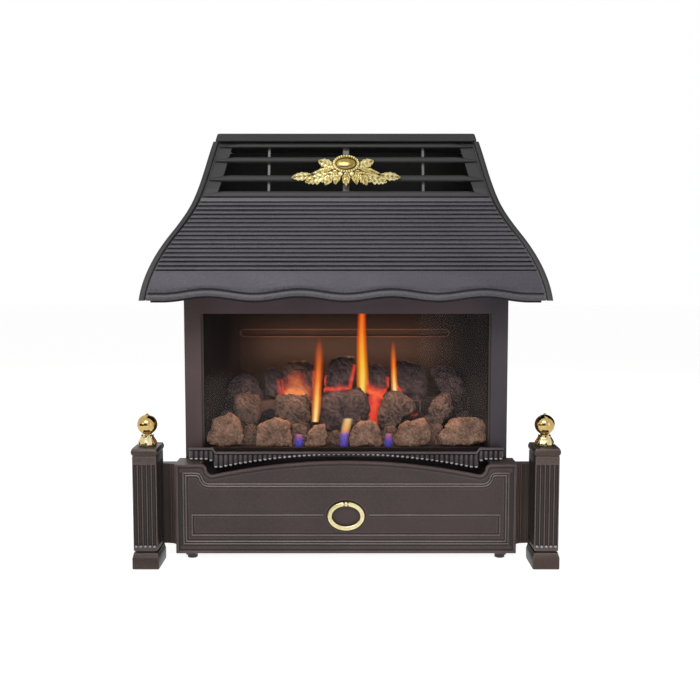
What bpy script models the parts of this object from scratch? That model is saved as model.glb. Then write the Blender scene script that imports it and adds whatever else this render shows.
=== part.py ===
"""Coal-effect gas fire with a cast bell canopy, a glazed firebox and a loose front fret.

The fire stands on the hearth: X runs across it, Y runs from the front (-Y) to the wall (+Y)
and Z is up. The origin is on the hearth, in the middle of the plan. Sizes are in metres.
"""

import math

import bmesh
import bpy
from mathutils import Matrix, Vector

for old in list(bpy.data.objects):
    bpy.data.objects.remove(old, do_unlink=True)

MM = 0.001

# Whole fire
WIDTH = 630 * MM  # over the plinths of the two posts
DEPTH = 290 * MM  # post fronts to the end of the flue spigot
GAP = 0.3 * MM  # between pieces that touch
SEAT = 0.5 * MM  # between curved castings that bear on each other
SHEET = 1.5 * MM
JOIN = 1 * MM  # how far joined shapes run into each other
CUT = 10 * MM  # how far a cutter passes its work
ROUND_SIDES = 16

# Posts, caps and finials
PLINTH_WIDTH = 39.4 * MM
PLINTH_DEPTH = 60 * MM  # front to back
PLINTH_HEIGHT = 18 * MM
PLINTH_BEVEL = 6.5 * MM  # height of the slope over the plinth
NECK_HEIGHT = 3 * MM
NECK_INSET = 3 * MM
SHAFT_INSET = 1.9 * MM
SHAFT_WIDTH = PLINTH_WIDTH - 2 * SHAFT_INSET
SHAFT_DEPTH = PLINTH_DEPTH - 2 * SHAFT_INSET
POST_HEIGHT = 180 * MM
CAP_HEIGHT = 10.5 * MM
CAP_INSET = 0.2 * MM  # from the plinth's sides
CAP_WIDTH = PLINTH_WIDTH - 2 * CAP_INSET
CAP_DEPTH = PLINTH_DEPTH - 2 * CAP_INSET
CAP_CHAMFER = 2 * MM
FLUTE_COUNT = 5
FLUTE_PITCH = SHAFT_WIDTH * 0.191
FLUTE_WIDTH = FLUTE_PITCH * 0.68
FLUTE_DEPTH = 1.8 * MM
FLUTE_END = 6 * MM  # plain shaft above the neck
FLUTE_TOP = 12.5 * MM  # plain shaft below the cap
POST_WALL = 5 * MM
FINIAL_FOOT_RADIUS = 14 * MM
FINIAL_STEM_RADIUS = 6 * MM
FINIAL_FOOT_HEIGHT = 16 * MM
BALL_RADIUS = 15 * MM
BALL_TIP = 2.5 * MM
BALL_TIP_RADIUS = 2.2 * MM
PETAL_COUNT = 8

# Fret panel, wings and ring pull
WING_FACE = 17.1 * MM  # from a plinth to the fret
FRET_FRONT = 48 * MM  # behind the post fronts
FRET_RELIEF = 3 * MM
FRET_THICK = 5.5 * MM
FRET_HALF = WIDTH / 2 - PLINTH_WIDTH - WING_FACE
FRET_BOTTOM = 10 * MM
FRET_CORNER = 147 * MM
FRET_DROP = 16.5 * MM  # from the level ends down to the dips
FRET_DIP = FRET_CORNER - FRET_DROP
FRET_CROWN = FRET_CORNER + 4.7 * MM
FRET_EAR = 38.2 * MM  # level end of the top edge
FRET_SHOULDER = FRET_HALF - FRET_EAR
FRET_TOE = FRET_SHOULDER - 18.3 * MM
RIM_WIDTH = 5.5 * MM
BEAD_MARGIN = 11.5 * MM
BEAD_HALF = FRET_HALF - BEAD_MARGIN
BEAD_WIDTH = 5.5 * MM
BEAD_RELIEF = 1.8 * MM
BEAD_TOP = FRET_CORNER - 12 * MM
BEAD_FIELD = BEAD_TOP - FRET_DROP
BEAD_BOTTOM = FRET_BOTTOM + 16 * MM
BEAD_EAR = 20 * MM
BEAD_SHOULDER = BEAD_HALF - BEAD_EAR
BEAD_TOE = BEAD_SHOULDER - 20 * MM
FIELD_HALF = BEAD_HALF - 12 * MM
FIELD_TOP = 70.5 * MM
FIELD_BOTTOM = BEAD_BOTTOM + 11 * MM
FIELD_BEAD = 3.5 * MM
RING_HEIGHT = FIELD_TOP - 2.5 * MM  # centre of the ring pull
RING_HALF = 28 * MM
RING_RISE = 22 * MM
RING_BAND = 6.4 * MM
RING_THICK = 3.4 * MM
RING_PIN_RADIUS = 1.5 * MM
RING_PIN_GAP = 0.4 * MM
RING_PIN_END = 3.5 * MM  # pin outside the boss, at each end
RING_BOSS_WIDTH = 7 * MM
RING_BOSS_HEIGHT = 8 * MM
RING_BOSS_NOSE = 2 * MM  # boss in front of the pin
RING_BOSS_ROOM = 1.2 * MM  # between the boss and the ring's ends
DISH_MARGIN = 8 * MM  # plain oval round the ring
DISH_RIM = 2.5 * MM
FOOT_RADIUS = 8 * MM
FOOT_X = FRET_HALF - 22.5 * MM
FOOT_DEPTH = FRET_FRONT + 18 * MM
FOOT_LUG = 9 * MM  # height of the lug that carries the foot
WING_BOTTOM = 23.5 * MM
WING_BACK = PLINTH_DEPTH + 15 * MM
WING_COVE = 8 * MM
WING_MARGIN = 6 * MM  # from the fire's side to the wing's outer edge
LEDGE_THICK = 6 * MM

# Ribbed grate
GRATE_FRONT = FRET_FRONT + 32 * MM
GRATE_THICK = 6 * MM
GRATE_RIB = 2.6 * MM
GRATE_HALF = FRET_HALF - 16 * MM
GRATE_END_TOP = FRET_CORNER + 19.4 * MM
GRATE_TOP = GRATE_END_TOP - 6.4 * MM
GRATE_STEP = GRATE_HALF - 36.5 * MM
GRATE_STUB = GRATE_HALF - 32.5 * MM
GRATE_TOE = GRATE_STUB - 10 * MM
GRATE_DIP = FRET_DIP + 3 * MM
GRATE_CROWN = FRET_CROWN + 3.8 * MM
GRATE_PITCH = 7.6 * MM
GRATE_BORDER = 3 * MM
GRATE_RAMP = 4.5 * MM

# Window
SURROUND_FRONT = GRATE_FRONT + 23 * MM
SURROUND_THICK = 4 * MM
SURROUND_DEPTH = 12 * MM
SURROUND_HALF = FRET_HALF - 8 * MM
SURROUND_SIDE = 25.9 * MM
SURROUND_BOTTOM = FRET_CORNER - 27 * MM
WINDOW_HALF = SURROUND_HALF - SURROUND_SIDE
WINDOW_BOTTOM = FRET_CORNER + 3 * MM
WINDOW_TOP = 372.3 * MM
GLASS_THICK = 4 * MM
GLASS_LAP = 9.5 * MM
ROPE_THICK = 2.7 * MM
ROPE_WIDTH = 6 * MM
RETAINER_LIP = 3 * MM  # how far it shows inside the opening
RETAINER_THICK = 1.2 * MM

# Case and firebox
SPIGOT_REACH = 26 * MM  # spigot behind the back sheet
CASE_BACK = DEPTH - SPIGOT_REACH
FLOOR_HEIGHT = 12 * MM
FLOOR_FRONT = FOOT_DEPTH + 12 * MM
SHELF_HEIGHT = FRET_CORNER - 21 * MM
BAFFLE_HEIGHT = WINDOW_TOP + 13.7 * MM
FIREBOX_FRONT = SURROUND_FRONT + 14 * MM
FLUE_SPACE = 19 * MM  # behind the firebox's back panel
FIREBOX_BACK = CASE_BACK - FLUE_SPACE
BAFFLE_BACK = FIREBOX_BACK - 33 * MM
FIREBOX_TAPER = 44.6 * MM
FIREBOX_BACK_HALF = WINDOW_HALF - FIREBOX_TAPER
BOARD = 10 * MM
GROOVE_HEIGHT = WINDOW_TOP - 41.3 * MM
GROOVE_WIDTH = 12 * MM
GROOVE_DEPTH = 3 * MM
GROOVE_END = 4 * MM
FLUE_BOX_FRONT = CASE_BACK - 104 * MM
FLUE_BOX_HALF = FIREBOX_BACK_HALF - 15 * MM
SPIGOT_HEIGHT = BAFFLE_HEIGHT + 54 * MM
SPIGOT_RADIUS = 52 * MM
SPIGOT_WALL = 2 * MM
SPIGOT_FLANGE = 10 * MM
SPIGOT_SIDES = 40
FLUE_BOX_TOP = SPIGOT_HEIGHT + SPIGOT_RADIUS + SPIGOT_FLANGE + 3 * MM

# Fuel bed
BURNER_HALF = FIREBOX_BACK_HALF - 10 * MM
BURNER_FRONT = FIREBOX_FRONT + 19 * MM
BURNER_BACK = FIREBOX_BACK - 19 * MM
BURNER_HEIGHT = 17.4 * MM
BED_PLAY = 2 * MM
BED_FRONT = FIREBOX_FRONT + BED_PLAY
BED_BACK = FIREBOX_BACK - BED_PLAY
BED_STEP_1 = BED_FRONT + (BED_BACK - BED_FRONT) * 0.25
BED_STEP_2 = BED_FRONT + (BED_BACK - BED_FRONT) * 0.548
BED_TOP_1 = SHELF_HEIGHT + 34 * MM
BED_TOP_2 = BED_TOP_1 + 18 * MM
BED_TOP_3 = BED_TOP_2 + 47 * MM
BED_SIDE = 4 * MM  # room between the bed and the side panels
SLOT_PITCH = BURNER_HALF * 0.388
SLOT_LENGTH = SLOT_PITCH * 0.64
SLOT_WIDTH = 5 * MM
SLOT_MARGIN_1 = 4 * MM  # front row of flame slots, behind the first step
SLOT_MARGIN_2 = 6 * MM  # back row, before the second step
VENTURI_X = 60 * MM
VENTURI_DEPTH = (BURNER_FRONT + BURNER_BACK) / 2
VENTURI_RADIUS = 11.5 * MM
VENTURI_WALL = 1.5 * MM
VENTURI_BOTTOM = SHELF_HEIGHT - 28 * MM
INJECTOR_RADIUS = 7 * MM
INJECTOR_NUT = 8 * MM
NOZZLE_RADIUS = 4 * MM
NOZZLE_TIP = 2 * MM
NOZZLE_LENGTH = 6 * MM
NOZZLE_CONE = 3 * MM
NOZZLE_ENTRY = 3 * MM  # nozzle inside the venturi's mouth

# Coals: each is (centre, width, height), as shares of the window's half width and of
# the tallest coal in its row
REAR_COAL_HEIGHT = 73 * MM
FRONT_COAL_HEIGHT = 50 * MM
LOOSE_COAL_HEIGHT = 66 * MM
REAR_COALS = (
    (-0.70, 0.26, 0.58),
    (-0.525, 0.15, 0.71),
    (-0.343, 0.24, 0.89),
    (-0.04, 0.24, 1.0),
    (0.223, 0.16, 0.88),
    (0.467, 0.23, 0.86),
    (0.70, 0.26, 0.77),
)
FRONT_COALS = (
    (-0.846, 0.205, 1.0),
    (-0.516, 0.24, 0.92),
    (-0.227, 0.16, 0.72),
    (0.116, 0.24, 0.86),
    (0.459, 0.25, 0.86),
    (0.819, 0.26, 0.94),
)
LOOSE_COALS = (
    (-0.712, 0.178, 0.91),
    (-0.392, 0.258, 0.94),
    (-0.009, 0.356, 1.0),
    (0.361, 0.276, 0.97),
    (0.672, 0.214, 0.91),
)
COAL_STRIP = 8.5 * MM  # thickness of the moulding under a row of coals

# Controls
BRACKET_FRONT = FLOOR_FRONT + 10 * MM
BRACKET_RIGHT = SURROUND_HALF - 28.5 * MM
BRACKET_LEFT = BRACKET_RIGHT - 104 * MM
BRACKET_TOP = SHELF_HEIGHT - 26 * MM
BRACKET_FOOT = 26 * MM
CONTROL_HEIGHT = 62 * MM
TAP_X = BRACKET_RIGHT - 62 * MM
TAP_WIDTH = 30 * MM
TAP_HEIGHT = 34 * MM
TAP_DEPTH = 30 * MM
TAP_NECK_RADIUS = 8.5 * MM
TAP_NECK = 7.6 * MM  # neck in front of the bracket
SPINDLE_RADIUS = 4 * MM
SPINDLE_PLAY = 0.5 * MM
SPINDLE_BACK = BRACKET_FRONT + 7 * MM
KNOB_RADIUS = 14 * MM
KNOB_BACK = BRACKET_FRONT - 16 * MM
KNOB_THICK = 12 * MM
KNOB_FACE = 3.3 * MM  # knob in front of the spindle
KNOB_TRAVEL = 4 * MM
COLLAR_RADIUS = 7 * MM
COLLAR_LENGTH = 3.5 * MM
IGNITER_X = BRACKET_RIGHT - 24 * MM
IGNITER_HEIGHT = BRACKET_TOP - 14 * MM
IGNITER_RADIUS = 8 * MM
IGNITER_FRONT = BRACKET_FRONT - 6 * MM
IGNITER_BACK = BRACKET_FRONT + 37 * MM
IGNITER_FLANGE = 10.5 * MM
IGNITER_FLANGE_THICK = 2 * MM
BUTTON_RADIUS = 7 * MM
BUTTON_STEM = 5 * MM
BUTTON_FRONT = IGNITER_FRONT - 12 * MM
BUTTON_HEAD = 4.5 * MM
BUTTON_END = IGNITER_FRONT + 11 * MM
BUTTON_TRAVEL = 6 * MM
PIPE_RADIUS = 4 * MM
PIPE_LEAD = 14 * MM  # straight pipe out of a fitting
INLET_X = BRACKET_RIGHT - 10 * MM
INLET_END = CASE_BACK + 12 * MM
NUT_RADIUS = 8.5 * MM
NUT_LENGTH = 10 * MM
PILOT_X = IGNITER_X - 8 * MM
PILOT_DEPTH = IGNITER_BACK + 25 * MM
PILOT_SPACING = 12 * MM  # electrode to jet
JET_FOOT = 6 * MM
JET_RADIUS = 3.5 * MM
JET_MOUTH = 2 * MM
JET_HEIGHT = 15 * MM
INSULATOR_RADIUS = 4 * MM
INSULATOR_HEIGHT = 8 * MM
ROD_RADIUS = 1 * MM
LEAD_RADIUS = 1.5 * MM

# Canopy
HOOD_BOTTOM = BAFFLE_HEIGHT + 10 * MM
HOOD_HEIGHT = 238 * MM
HOOD_TOP = HOOD_BOTTOM + HOOD_HEIGHT
SHOULDER_RISE = HOOD_HEIGHT * 0.412  # height over the lip where the bell is steepest
NECK_RISE = HOOD_HEIGHT * 0.63
HOOD_HALF_BOTTOM = WIDTH / 2 - 14.6 * MM
HOOD_HALF_SHOULDER = HOOD_HALF_BOTTOM - 41.6 * MM
HOOD_HALF_NECK = HOOD_HALF_SHOULDER - 30.1 * MM
HOOD_HALF_TOP = HOOD_HALF_NECK - 27.1 * MM
HOOD_LIP_FRONT = 7 * MM
HOOD_FLARE = 0.94  # forward flare for each part of sideways flare
HOOD_WALL = 4 * MM
RIM = 8.5 * MM
RIM_RELIEF = 2 * MM
RIM_GROOVE = 2.5 * MM
FLANGE_WIDTH = 18 * MM
FLANGE_THICK = 3.2 * MM
RIB_COUNT = 16
RIB_MARGIN = 6.7 * MM  # plain strip between the grille and the ribs
BAND_HEIGHT = 43.6 * MM  # smooth band from the ribs to the lip's lowest point
RIB_GROOVE = 1.9 * MM
LIP_HEIGHT = 9 * MM
LIP_RELIEF = 1.5 * MM
LIP_GROOVE = 1.6 * MM
WAVE_PITCH = HOOD_HALF_BOTTOM * 0.4444
WAVE_SWING = 3.25 * MM
WAVE_COUNT = 4
GRILLE_DROP = 2.6 * MM  # shadow line under the top plate
GRILLE_BARS = (7 * MM, 8.5 * MM, 9.7 * MM, 9.5 * MM)
GRILLE_SLOTS = (13.9 * MM, 19.3 * MM, 14.8 * MM)
GRILLE_END = 31 * MM
GRILLE_THICK = 5 * MM
MULLION_X = HOOD_HALF_TOP * 0.58
MULLION_WIDTH = 4.6 * MM
MULLION_CENTRE = 10 * MM
MULLION_THICK = 4 * MM
TOP_THICK = 11.7 * MM
TOP_HALF = HOOD_HALF_TOP - 3.8 * MM
TOP_SLANT = 4 * MM
TOP_OVERHANG = 4 * MM
TOP_BEVEL = 1.2 * MM
SURROUND_TOP = HOOD_BOTTOM + 34 * MM

# Brass spray: leaves as (centre X, centre Z, length, width, turn towards the middle in
# radians), with the lengths as shares of its half width
BADGE_RISE = 39.3 * MM  # over the grille's lower edge
BADGE_HALF = 82 * MM
BADGE_THICK = 5 * MM
BADGE_LEAVES = (
    (0.854, -0.098, 0.293, 0.11, 0.0),
    (0.610, -0.11, 0.366, 0.183, -0.2),
    (0.573, 0.024, 0.293, 0.134, 0.35),
    (0.354, 0.049, 0.268, 0.146, 0.7),
    (0.268, -0.146, 0.317, 0.159, -0.6),
)
BADGE_FAN = (0.0, -0.159, 0.244, 0.195)  # the leaf that hangs from the middle
MEDAL_HALF = 20.5 * MM
MEDAL_RISE = 14 * MM
MEDAL_THICK = 5 * MM
MEDAL_OFFSET = 11.5 * MM

FINISHES = {
    "canopy": ((0.050, 0.048, 0.052), 0.55, 0.3),
    "fret": ((0.040, 0.034, 0.031), 0.6, 0.3),
    "brass": ((0.72, 0.50, 0.20), 0.22, 1.0),
    "case": ((0.030, 0.028, 0.028), 0.5, 0.2),
    "surround": ((0.055, 0.045, 0.042), 0.5, 0.3),
    "glass": ((0.80, 0.85, 0.82), 0.05, 0.0),
    "rope": ((0.60, 0.58, 0.52), 0.95, 0.0),
    "steel": ((0.45, 0.44, 0.42), 0.35, 1.0),
    "brick": ((0.20, 0.14, 0.10), 0.9, 0.0),
    "coal": ((0.16, 0.13, 0.12), 0.95, 0.0),
    "plastic": ((0.02, 0.02, 0.02), 0.4, 0.0),
    "ceramic": ((0.85, 0.83, 0.78), 0.3, 0.0),
}


def at(depth):
    """Y of a plane that lies this far behind the post fronts."""
    return depth - DEPTH / 2


def own_material(name, finish):
    colour, roughness, metallic = FINISHES[finish]
    material = bpy.data.materials.new(name)
    material.use_nodes = True
    shader = material.node_tree.nodes["Principled BSDF"]
    shader.inputs["Base Color"].default_value = (*colour, 1)
    shader.inputs["Roughness"].default_value = roughness
    shader.inputs["Metallic"].default_value = metallic
    return material


def new_object(name, shape):
    """An object from a bmesh, with its faces pointing out."""
    bmesh.ops.remove_doubles(shape, verts=shape.verts, dist=1e-7)
    bmesh.ops.recalc_face_normals(shape, faces=shape.faces)
    mesh = bpy.data.meshes.new(name)
    shape.to_mesh(mesh)
    shape.free()
    obj = bpy.data.objects.new(name, mesh)
    bpy.context.collection.objects.link(obj)
    return obj


def finished(obj, finish, sharp=35):
    """Gives a part its material and smooths what is round."""
    obj.data.materials.clear()
    obj.data.materials.append(own_material(obj.name, finish))
    obj.data.shade_smooth()
    obj.data.set_sharp_from_angle(angle=math.radians(sharp))
    return obj


def boolean(obj, tool_shapes, operation):
    """Joins the shapes to the object, or cuts them from it, and keeps the result as its mesh."""
    tools = [new_object(f"{obj.name}_tool", shape) for shape in tool_shapes]
    for tool in tools:
        modifier = obj.modifiers.new(operation.title(), "BOOLEAN")
        modifier.operation = operation
        modifier.solver = "EXACT"
        modifier.object = tool
    graph = bpy.context.evaluated_depsgraph_get()
    graph.update()
    result = bpy.data.meshes.new_from_object(obj.evaluated_get(graph))
    obj.modifiers.clear()
    obj.data = result
    for tool in tools:
        bpy.data.objects.remove(tool, do_unlink=True)
    return obj


def put_origin(obj, point):
    """Moves the object's origin to a point and leaves its mesh where it is."""
    obj.data.transform(Matrix.Translation(-Vector(point)))
    obj.location = point
    return obj


def loft(rings, capped=True, closed=False):
    """A skin over rings of points. Rings may be open strips; ends are capped with one face."""
    shape = bmesh.new()
    rows = [[shape.verts.new(point) for point in ring] for ring in rings]
    pairs = list(zip(rows, rows[1:]))
    if closed:
        pairs.append((rows[-1], rows[0]))
    for low, high in pairs:
        for i in range(len(low)):
            j = (i + 1) % len(low)
            shape.faces.new((low[i], low[j], high[j], high[i]))
    if capped and not closed:
        shape.faces.new(rows[0])
        shape.faces.new(rows[-1])
    return shape


def prism(outline, low, high, axis="Y"):
    """An outline extruded along an axis. Its points are the other two axes, in X, Y, Z order."""
    place = {
        "X": lambda a, b, c: (c, a, b),
        "Y": lambda a, b, c: (a, c, b),
        "Z": lambda a, b, c: (a, b, c),
    }[axis]
    return loft([[place(a, b, c) for a, b in outline] for c in (low, high)])


def block(x, y, z):
    """A box from its (low, high) pairs."""
    return prism([(x[0], y[0]), (x[1], y[0]), (x[1], y[1]), (x[0], y[1])], z[0], z[1], "Z")


def oval(centre, half_width, half_height, sides=ROUND_SIDES):
    return [
        (
            centre[0] + half_width * math.cos(2 * math.pi * i / sides),
            centre[1] + half_height * math.sin(2 * math.pi * i / sides),
        )
        for i in range(sides)
    ]


def rod(centre, radius, low, high, axis="Y", sides=ROUND_SIDES):
    return prism(oval(centre, radius, radius, sides), low, high, axis)


def turned(profile, sides=ROUND_SIDES):
    """A profile of (radius, height) turned about Z. A radius of 0 makes a pole."""
    shape = bmesh.new()
    rows = []
    for radius, height in profile:
        count = sides if radius > 0 else 1
        rows.append(
            [
                shape.verts.new(
                    (
                        radius * math.cos(2 * math.pi * i / sides),
                        radius * math.sin(2 * math.pi * i / sides),
                        height,
                    )
                )
                for i in range(count)
            ]
        )
    for low, high in zip(rows, rows[1:]):
        for i in range(sides):
            j = (i + 1) % sides
            corners = [low[i % len(low)], low[j % len(low)], high[j % len(high)], high[i % len(high)]]
            shape.faces.new(list(dict.fromkeys(corners)))
    for row in (rows[0], rows[-1]):
        if len(row) > 1:
            shape.faces.new(row)
    return shape


def frame_ring(outer, inner, low, high):
    """A flat ring between two outlines of as many points, extruded along Y."""
    rings = [
        [(x, low, z) for x, z in outer],
        [(x, high, z) for x, z in outer],
        [(x, high, z) for x, z in inner],
        [(x, low, z) for x, z in inner],
    ]
    return loft(rings, closed=True)


def rectangle(half, low, high):
    return [(-half, low), (half, low), (half, high), (-half, high)]


def inset(outline, distance):
    """The outline moved in by a distance along its own normals. It runs anticlockwise."""
    moved = []
    for i, (x, z) in enumerate(outline):
        before = Vector(outline[i - 1])
        after = Vector(outline[(i + 1) % len(outline)])
        here = Vector((x, z))
        first = (here - before).normalized()
        second = (after - here).normalized()
        normal = Vector((-first.y - second.y, first.x + second.x)).normalized()
        stretch = max(normal.dot(Vector((-first.y, first.x))), 0.5)
        moved.append(tuple(here + normal * distance / stretch))
    return moved


def pipe(name, points, radius, finish, resolution=2):
    """A round tube along a smooth curve through the points."""
    curve = bpy.data.curves.new(name, "CURVE")
    curve.dimensions = "3D"
    curve.bevel_depth = radius
    curve.bevel_resolution = resolution
    curve.use_fill_caps = True
    spline = curve.splines.new("POLY")
    smooth = smooth_path(points, radius / 4)
    spline.points.add(len(smooth) - 1)
    for point, place in zip(spline.points, smooth):
        point.co = (*place, 1)
    guide = bpy.data.objects.new(f"{name}_path", curve)
    bpy.context.collection.objects.link(guide)
    graph = bpy.context.evaluated_depsgraph_get()
    graph.update()
    mesh = bpy.data.meshes.new_from_object(guide.evaluated_get(graph))
    bpy.data.objects.remove(guide, do_unlink=True)
    shape = bmesh.new()
    shape.from_mesh(mesh)
    return shape


def smooth_path(points, lead, steps=6):
    """Points of a smooth curve through the given ones, with a short straight lead at each end."""
    knots = [Vector(p) for p in points]
    knots = [2 * knots[0] - knots[1], *knots, 2 * knots[-1] - knots[-2]]
    path = []
    for a, b, c, d in zip(knots, knots[1:], knots[2:], knots[3:]):
        for step in range(steps):
            t = step / steps
            path.append(
                0.5
                * (
                    2 * b
                    + (c - a) * t
                    + (2 * a - 5 * b + 4 * c - d) * t * t
                    + (3 * b - a - 3 * c + d) * t**3
                )
            )
    path.append(knots[-2])
    path.insert(1, path[0] + (knots[2] - knots[1]).normalized() * lead)
    path.insert(-1, path[-1] - (knots[-2] - knots[-3]).normalized() * lead)
    return path


# Canopy: a bell that flares sideways and forwards towards its lip


def hood_half(height):
    """Half width of the canopy at a height, on one smooth curve from lip to top."""
    knots = (
        (HOOD_BOTTOM, HOOD_HALF_BOTTOM, -0.13),
        (HOOD_BOTTOM + SHOULDER_RISE, HOOD_HALF_SHOULDER, -0.70),
        (HOOD_BOTTOM + NECK_RISE, HOOD_HALF_NECK, -0.40),
        (HOOD_TOP, HOOD_HALF_TOP, -0.32),
    )
    height = min(max(height, HOOD_BOTTOM), HOOD_TOP)
    for (z0, w0, m0), (z1, w1, m1) in zip(knots, knots[1:]):
        if height <= z1:
            span = z1 - z0
            t = (height - z0) / span
            return (
                (2 * t**3 - 3 * t**2 + 1) * w0
                + (t**3 - 2 * t**2 + t) * span * m0
                + (3 * t**2 - 2 * t**3) * w1
                + (t**3 - t**2) * span * m1
            )
    return HOOD_HALF_TOP


def hood_front(height):
    """Y of the canopy's front surface at a height."""
    return at(HOOD_LIP_FRONT + HOOD_FLARE * (HOOD_HALF_BOTTOM - hood_half(height)))


def panel_half(height):
    """Half width of the ribbed panel and the grille, inside the side rims."""
    return hood_half(height) - RIM - RIM_GROOVE


def wave(x):
    """Height of the wavy lip over its lowest point."""
    if abs(x) >= WAVE_PITCH * WAVE_COUNT / 2:
        return 0
    return WAVE_SWING * (1 - math.cos(2 * math.pi * x / WAVE_PITCH))


def make_hood_panel():
    """The ribbed casting: straight ribs over a smooth band that ends in a wavy lip."""
    shape = bmesh.new()
    columns = [i / 24 for i in range(-24, 25)]
    rib_bottom = HOOD_BOTTOM + BAND_HEIGHT
    rib_top = grille_heights()[-1] - RIB_MARGIN
    pitch = (rib_top - rib_bottom) / RIB_COUNT
    ribs = []
    for i in range(RIB_COUNT):
        top = rib_top - i * pitch
        ribs += [(top, 0), (top - pitch * 0.5, 0), (top - pitch * 0.75, RIB_GROOVE)]
    top_edge = grille_heights()[-1] - GAP - SEAT
    straight = [(top_edge, 0), *ribs, (rib_bottom, 0)]
    straight += [(HOOD_BOTTOM + BAND_HEIGHT * share, 0) for share in (0.72, 0.6)]
    lip = (
        (LIP_HEIGHT * 1.33, 0),
        (LIP_HEIGHT * 1.17, LIP_GROOVE),
        (LIP_HEIGHT, -LIP_RELIEF * 0.6),
        (LIP_HEIGHT * 0.5, -LIP_RELIEF),
        (0, -LIP_RELIEF * 0.4),
    )

    def straight_row(height, depth):
        half = panel_half(height)
        y = hood_front(height) + depth
        return [shape.verts.new((side * half, y, height)) for side in (-1, 1)]

    def wavy_row(rise, depth):
        row = []
        for share in columns:
            x = share * panel_half(HOOD_BOTTOM + rise)
            z = HOOD_BOTTOM + rise + wave(x)
            row.append(shape.verts.new((x, hood_front(z) + depth, z)))
        return row

    front = [straight_row(*row) for row in straight]
    front += [wavy_row(*row) for row in lip]
    rear = [straight_row(height, HOOD_WALL) for height, _ in straight]
    rear += [wavy_row(rise, HOOD_WALL) for rise, _ in lip]

    def join(upper, lower):
        if len(upper) == len(lower):
            for i in range(len(upper) - 1):
                shape.faces.new((upper[i], upper[i + 1], lower[i + 1], lower[i]))
        else:
            shape.faces.new((*upper, *reversed(lower)))

    for rows in (front, rear):
        for upper, lower in zip(rows, rows[1:]):
            join(upper, lower)
    for (f0, f1), (r0, r1) in zip(zip(front, front[1:]), zip(rear, rear[1:])):
        shape.faces.new((f0[0], f1[0], r1[0], r0[0]))
        shape.faces.new((f0[-1], f1[-1], r1[-1], r0[-1]))
    join(front[0], rear[0])
    join(front[-1], rear[-1])
    finished(new_object("hood_front", shape), "canopy", 25)


def grille_heights():
    """Heights of the edges of the grille's bars, from the top down."""
    heights = [HOOD_TOP - GRILLE_DROP]
    for bar, slot in zip(GRILLE_BARS, (*GRILLE_SLOTS, None)):
        heights.append(heights[-1] - bar)
        if slot:
            heights.append(heights[-1] - slot)
    return heights


def pierced_sheet(heights, column_places, kept, offset, thick):
    """A sheet that follows the canopy's front, with the cells that aren't kept left open."""
    shape = bmesh.new()
    grids = []
    for depth in (offset, offset + thick):
        grids.append(
            [
                [shape.verts.new((x, hood_front(z) + depth, z)) for x in column_places(z)]
                for z in heights
            ]
        )
    front, rear = grids
    rows = len(heights) - 1
    columns = len(front[0]) - 1

    def is_kept(i, j):
        return 0 <= i < rows and 0 <= j < columns and kept(i, j)

    for i in range(rows):
        for j in range(columns):
            if not is_kept(i, j):
                continue
            for grid in grids:
                shape.faces.new((grid[i][j], grid[i][j + 1], grid[i + 1][j + 1], grid[i + 1][j]))
            edges = (
                ((i, j), (i, j + 1), (i - 1, j)),
                ((i + 1, j), (i + 1, j + 1), (i + 1, j)),
                ((i, j), (i + 1, j), (i, j - 1)),
                ((i, j + 1), (i + 1, j + 1), (i, j + 1)),
            )
            for (a, b), (c, d), neighbour in edges:
                if not is_kept(*neighbour):
                    shape.faces.new((front[a][b], front[c][d], rear[c][d], rear[a][b]))
    loose = [vert for vert in shape.verts if not vert.link_faces]
    bmesh.ops.delete(shape, geom=loose, context="VERTS")
    return shape


def make_grille():
    heights = grille_heights()

    def places(z):
        half = panel_half(z)
        inner = hood_half(z) - GRILLE_END
        return (-half, -inner, inner, half)

    def kept(i, j):
        return j != 1 or i % 2 == 0

    shape = pierced_sheet(heights, places, kept, 0, GRILLE_THICK)
    finished(new_object("hood_grille", shape), "canopy", 25)


def make_grille_comb():
    """Three uprights behind the bars, joined by a rail at the top and one at the bottom."""
    heights = grille_heights()
    rail = [heights[0], heights[1], *heights[2:-2], heights[-2], heights[-1]]
    centre = MULLION_CENTRE / 2
    side = MULLION_WIDTH / 2
    edges = (
        -MULLION_X - side,
        -MULLION_X + side,
        -centre,
        centre,
        MULLION_X - side,
        MULLION_X + side,
    )

    def kept(i, j):
        return j % 2 == 0 or i in (0, len(rail) - 2)

    shape = pierced_sheet(rail, lambda z: edges, kept, GRILLE_THICK + SEAT, MULLION_THICK)
    finished(new_object("grille_comb", shape), "canopy", 25)


def make_hood_cheek(name, side):
    """A curved side sheet with a raised rim in front and a flange behind the front castings."""
    rings = []
    count = 32
    for i in range(count + 1):
        z = HOOD_BOTTOM + (HOOD_TOP - HOOD_BOTTOM) * i / count
        half = hood_half(z)
        front = hood_front(z)
        seat = front + GRILLE_THICK + SEAT if z > grille_heights()[-1] else front + HOOD_WALL + SEAT
        rear = at(CASE_BACK) - SHEET - GAP
        plan = (
            (half, front - RIM_RELIEF),
            (half - RIM, front - RIM_RELIEF),
            (half - RIM, seat),
            (half - FLANGE_WIDTH, seat),
            (half - FLANGE_WIDTH, seat + FLANGE_THICK),
            (half - HOOD_WALL, seat + FLANGE_THICK),
            (half - HOOD_WALL, rear),
            (half, rear),
        )
        rings.append([(side * x, y, z) for x, y in plan])
    finished(new_object(name, loft(rings)), "canopy", 25)


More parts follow.
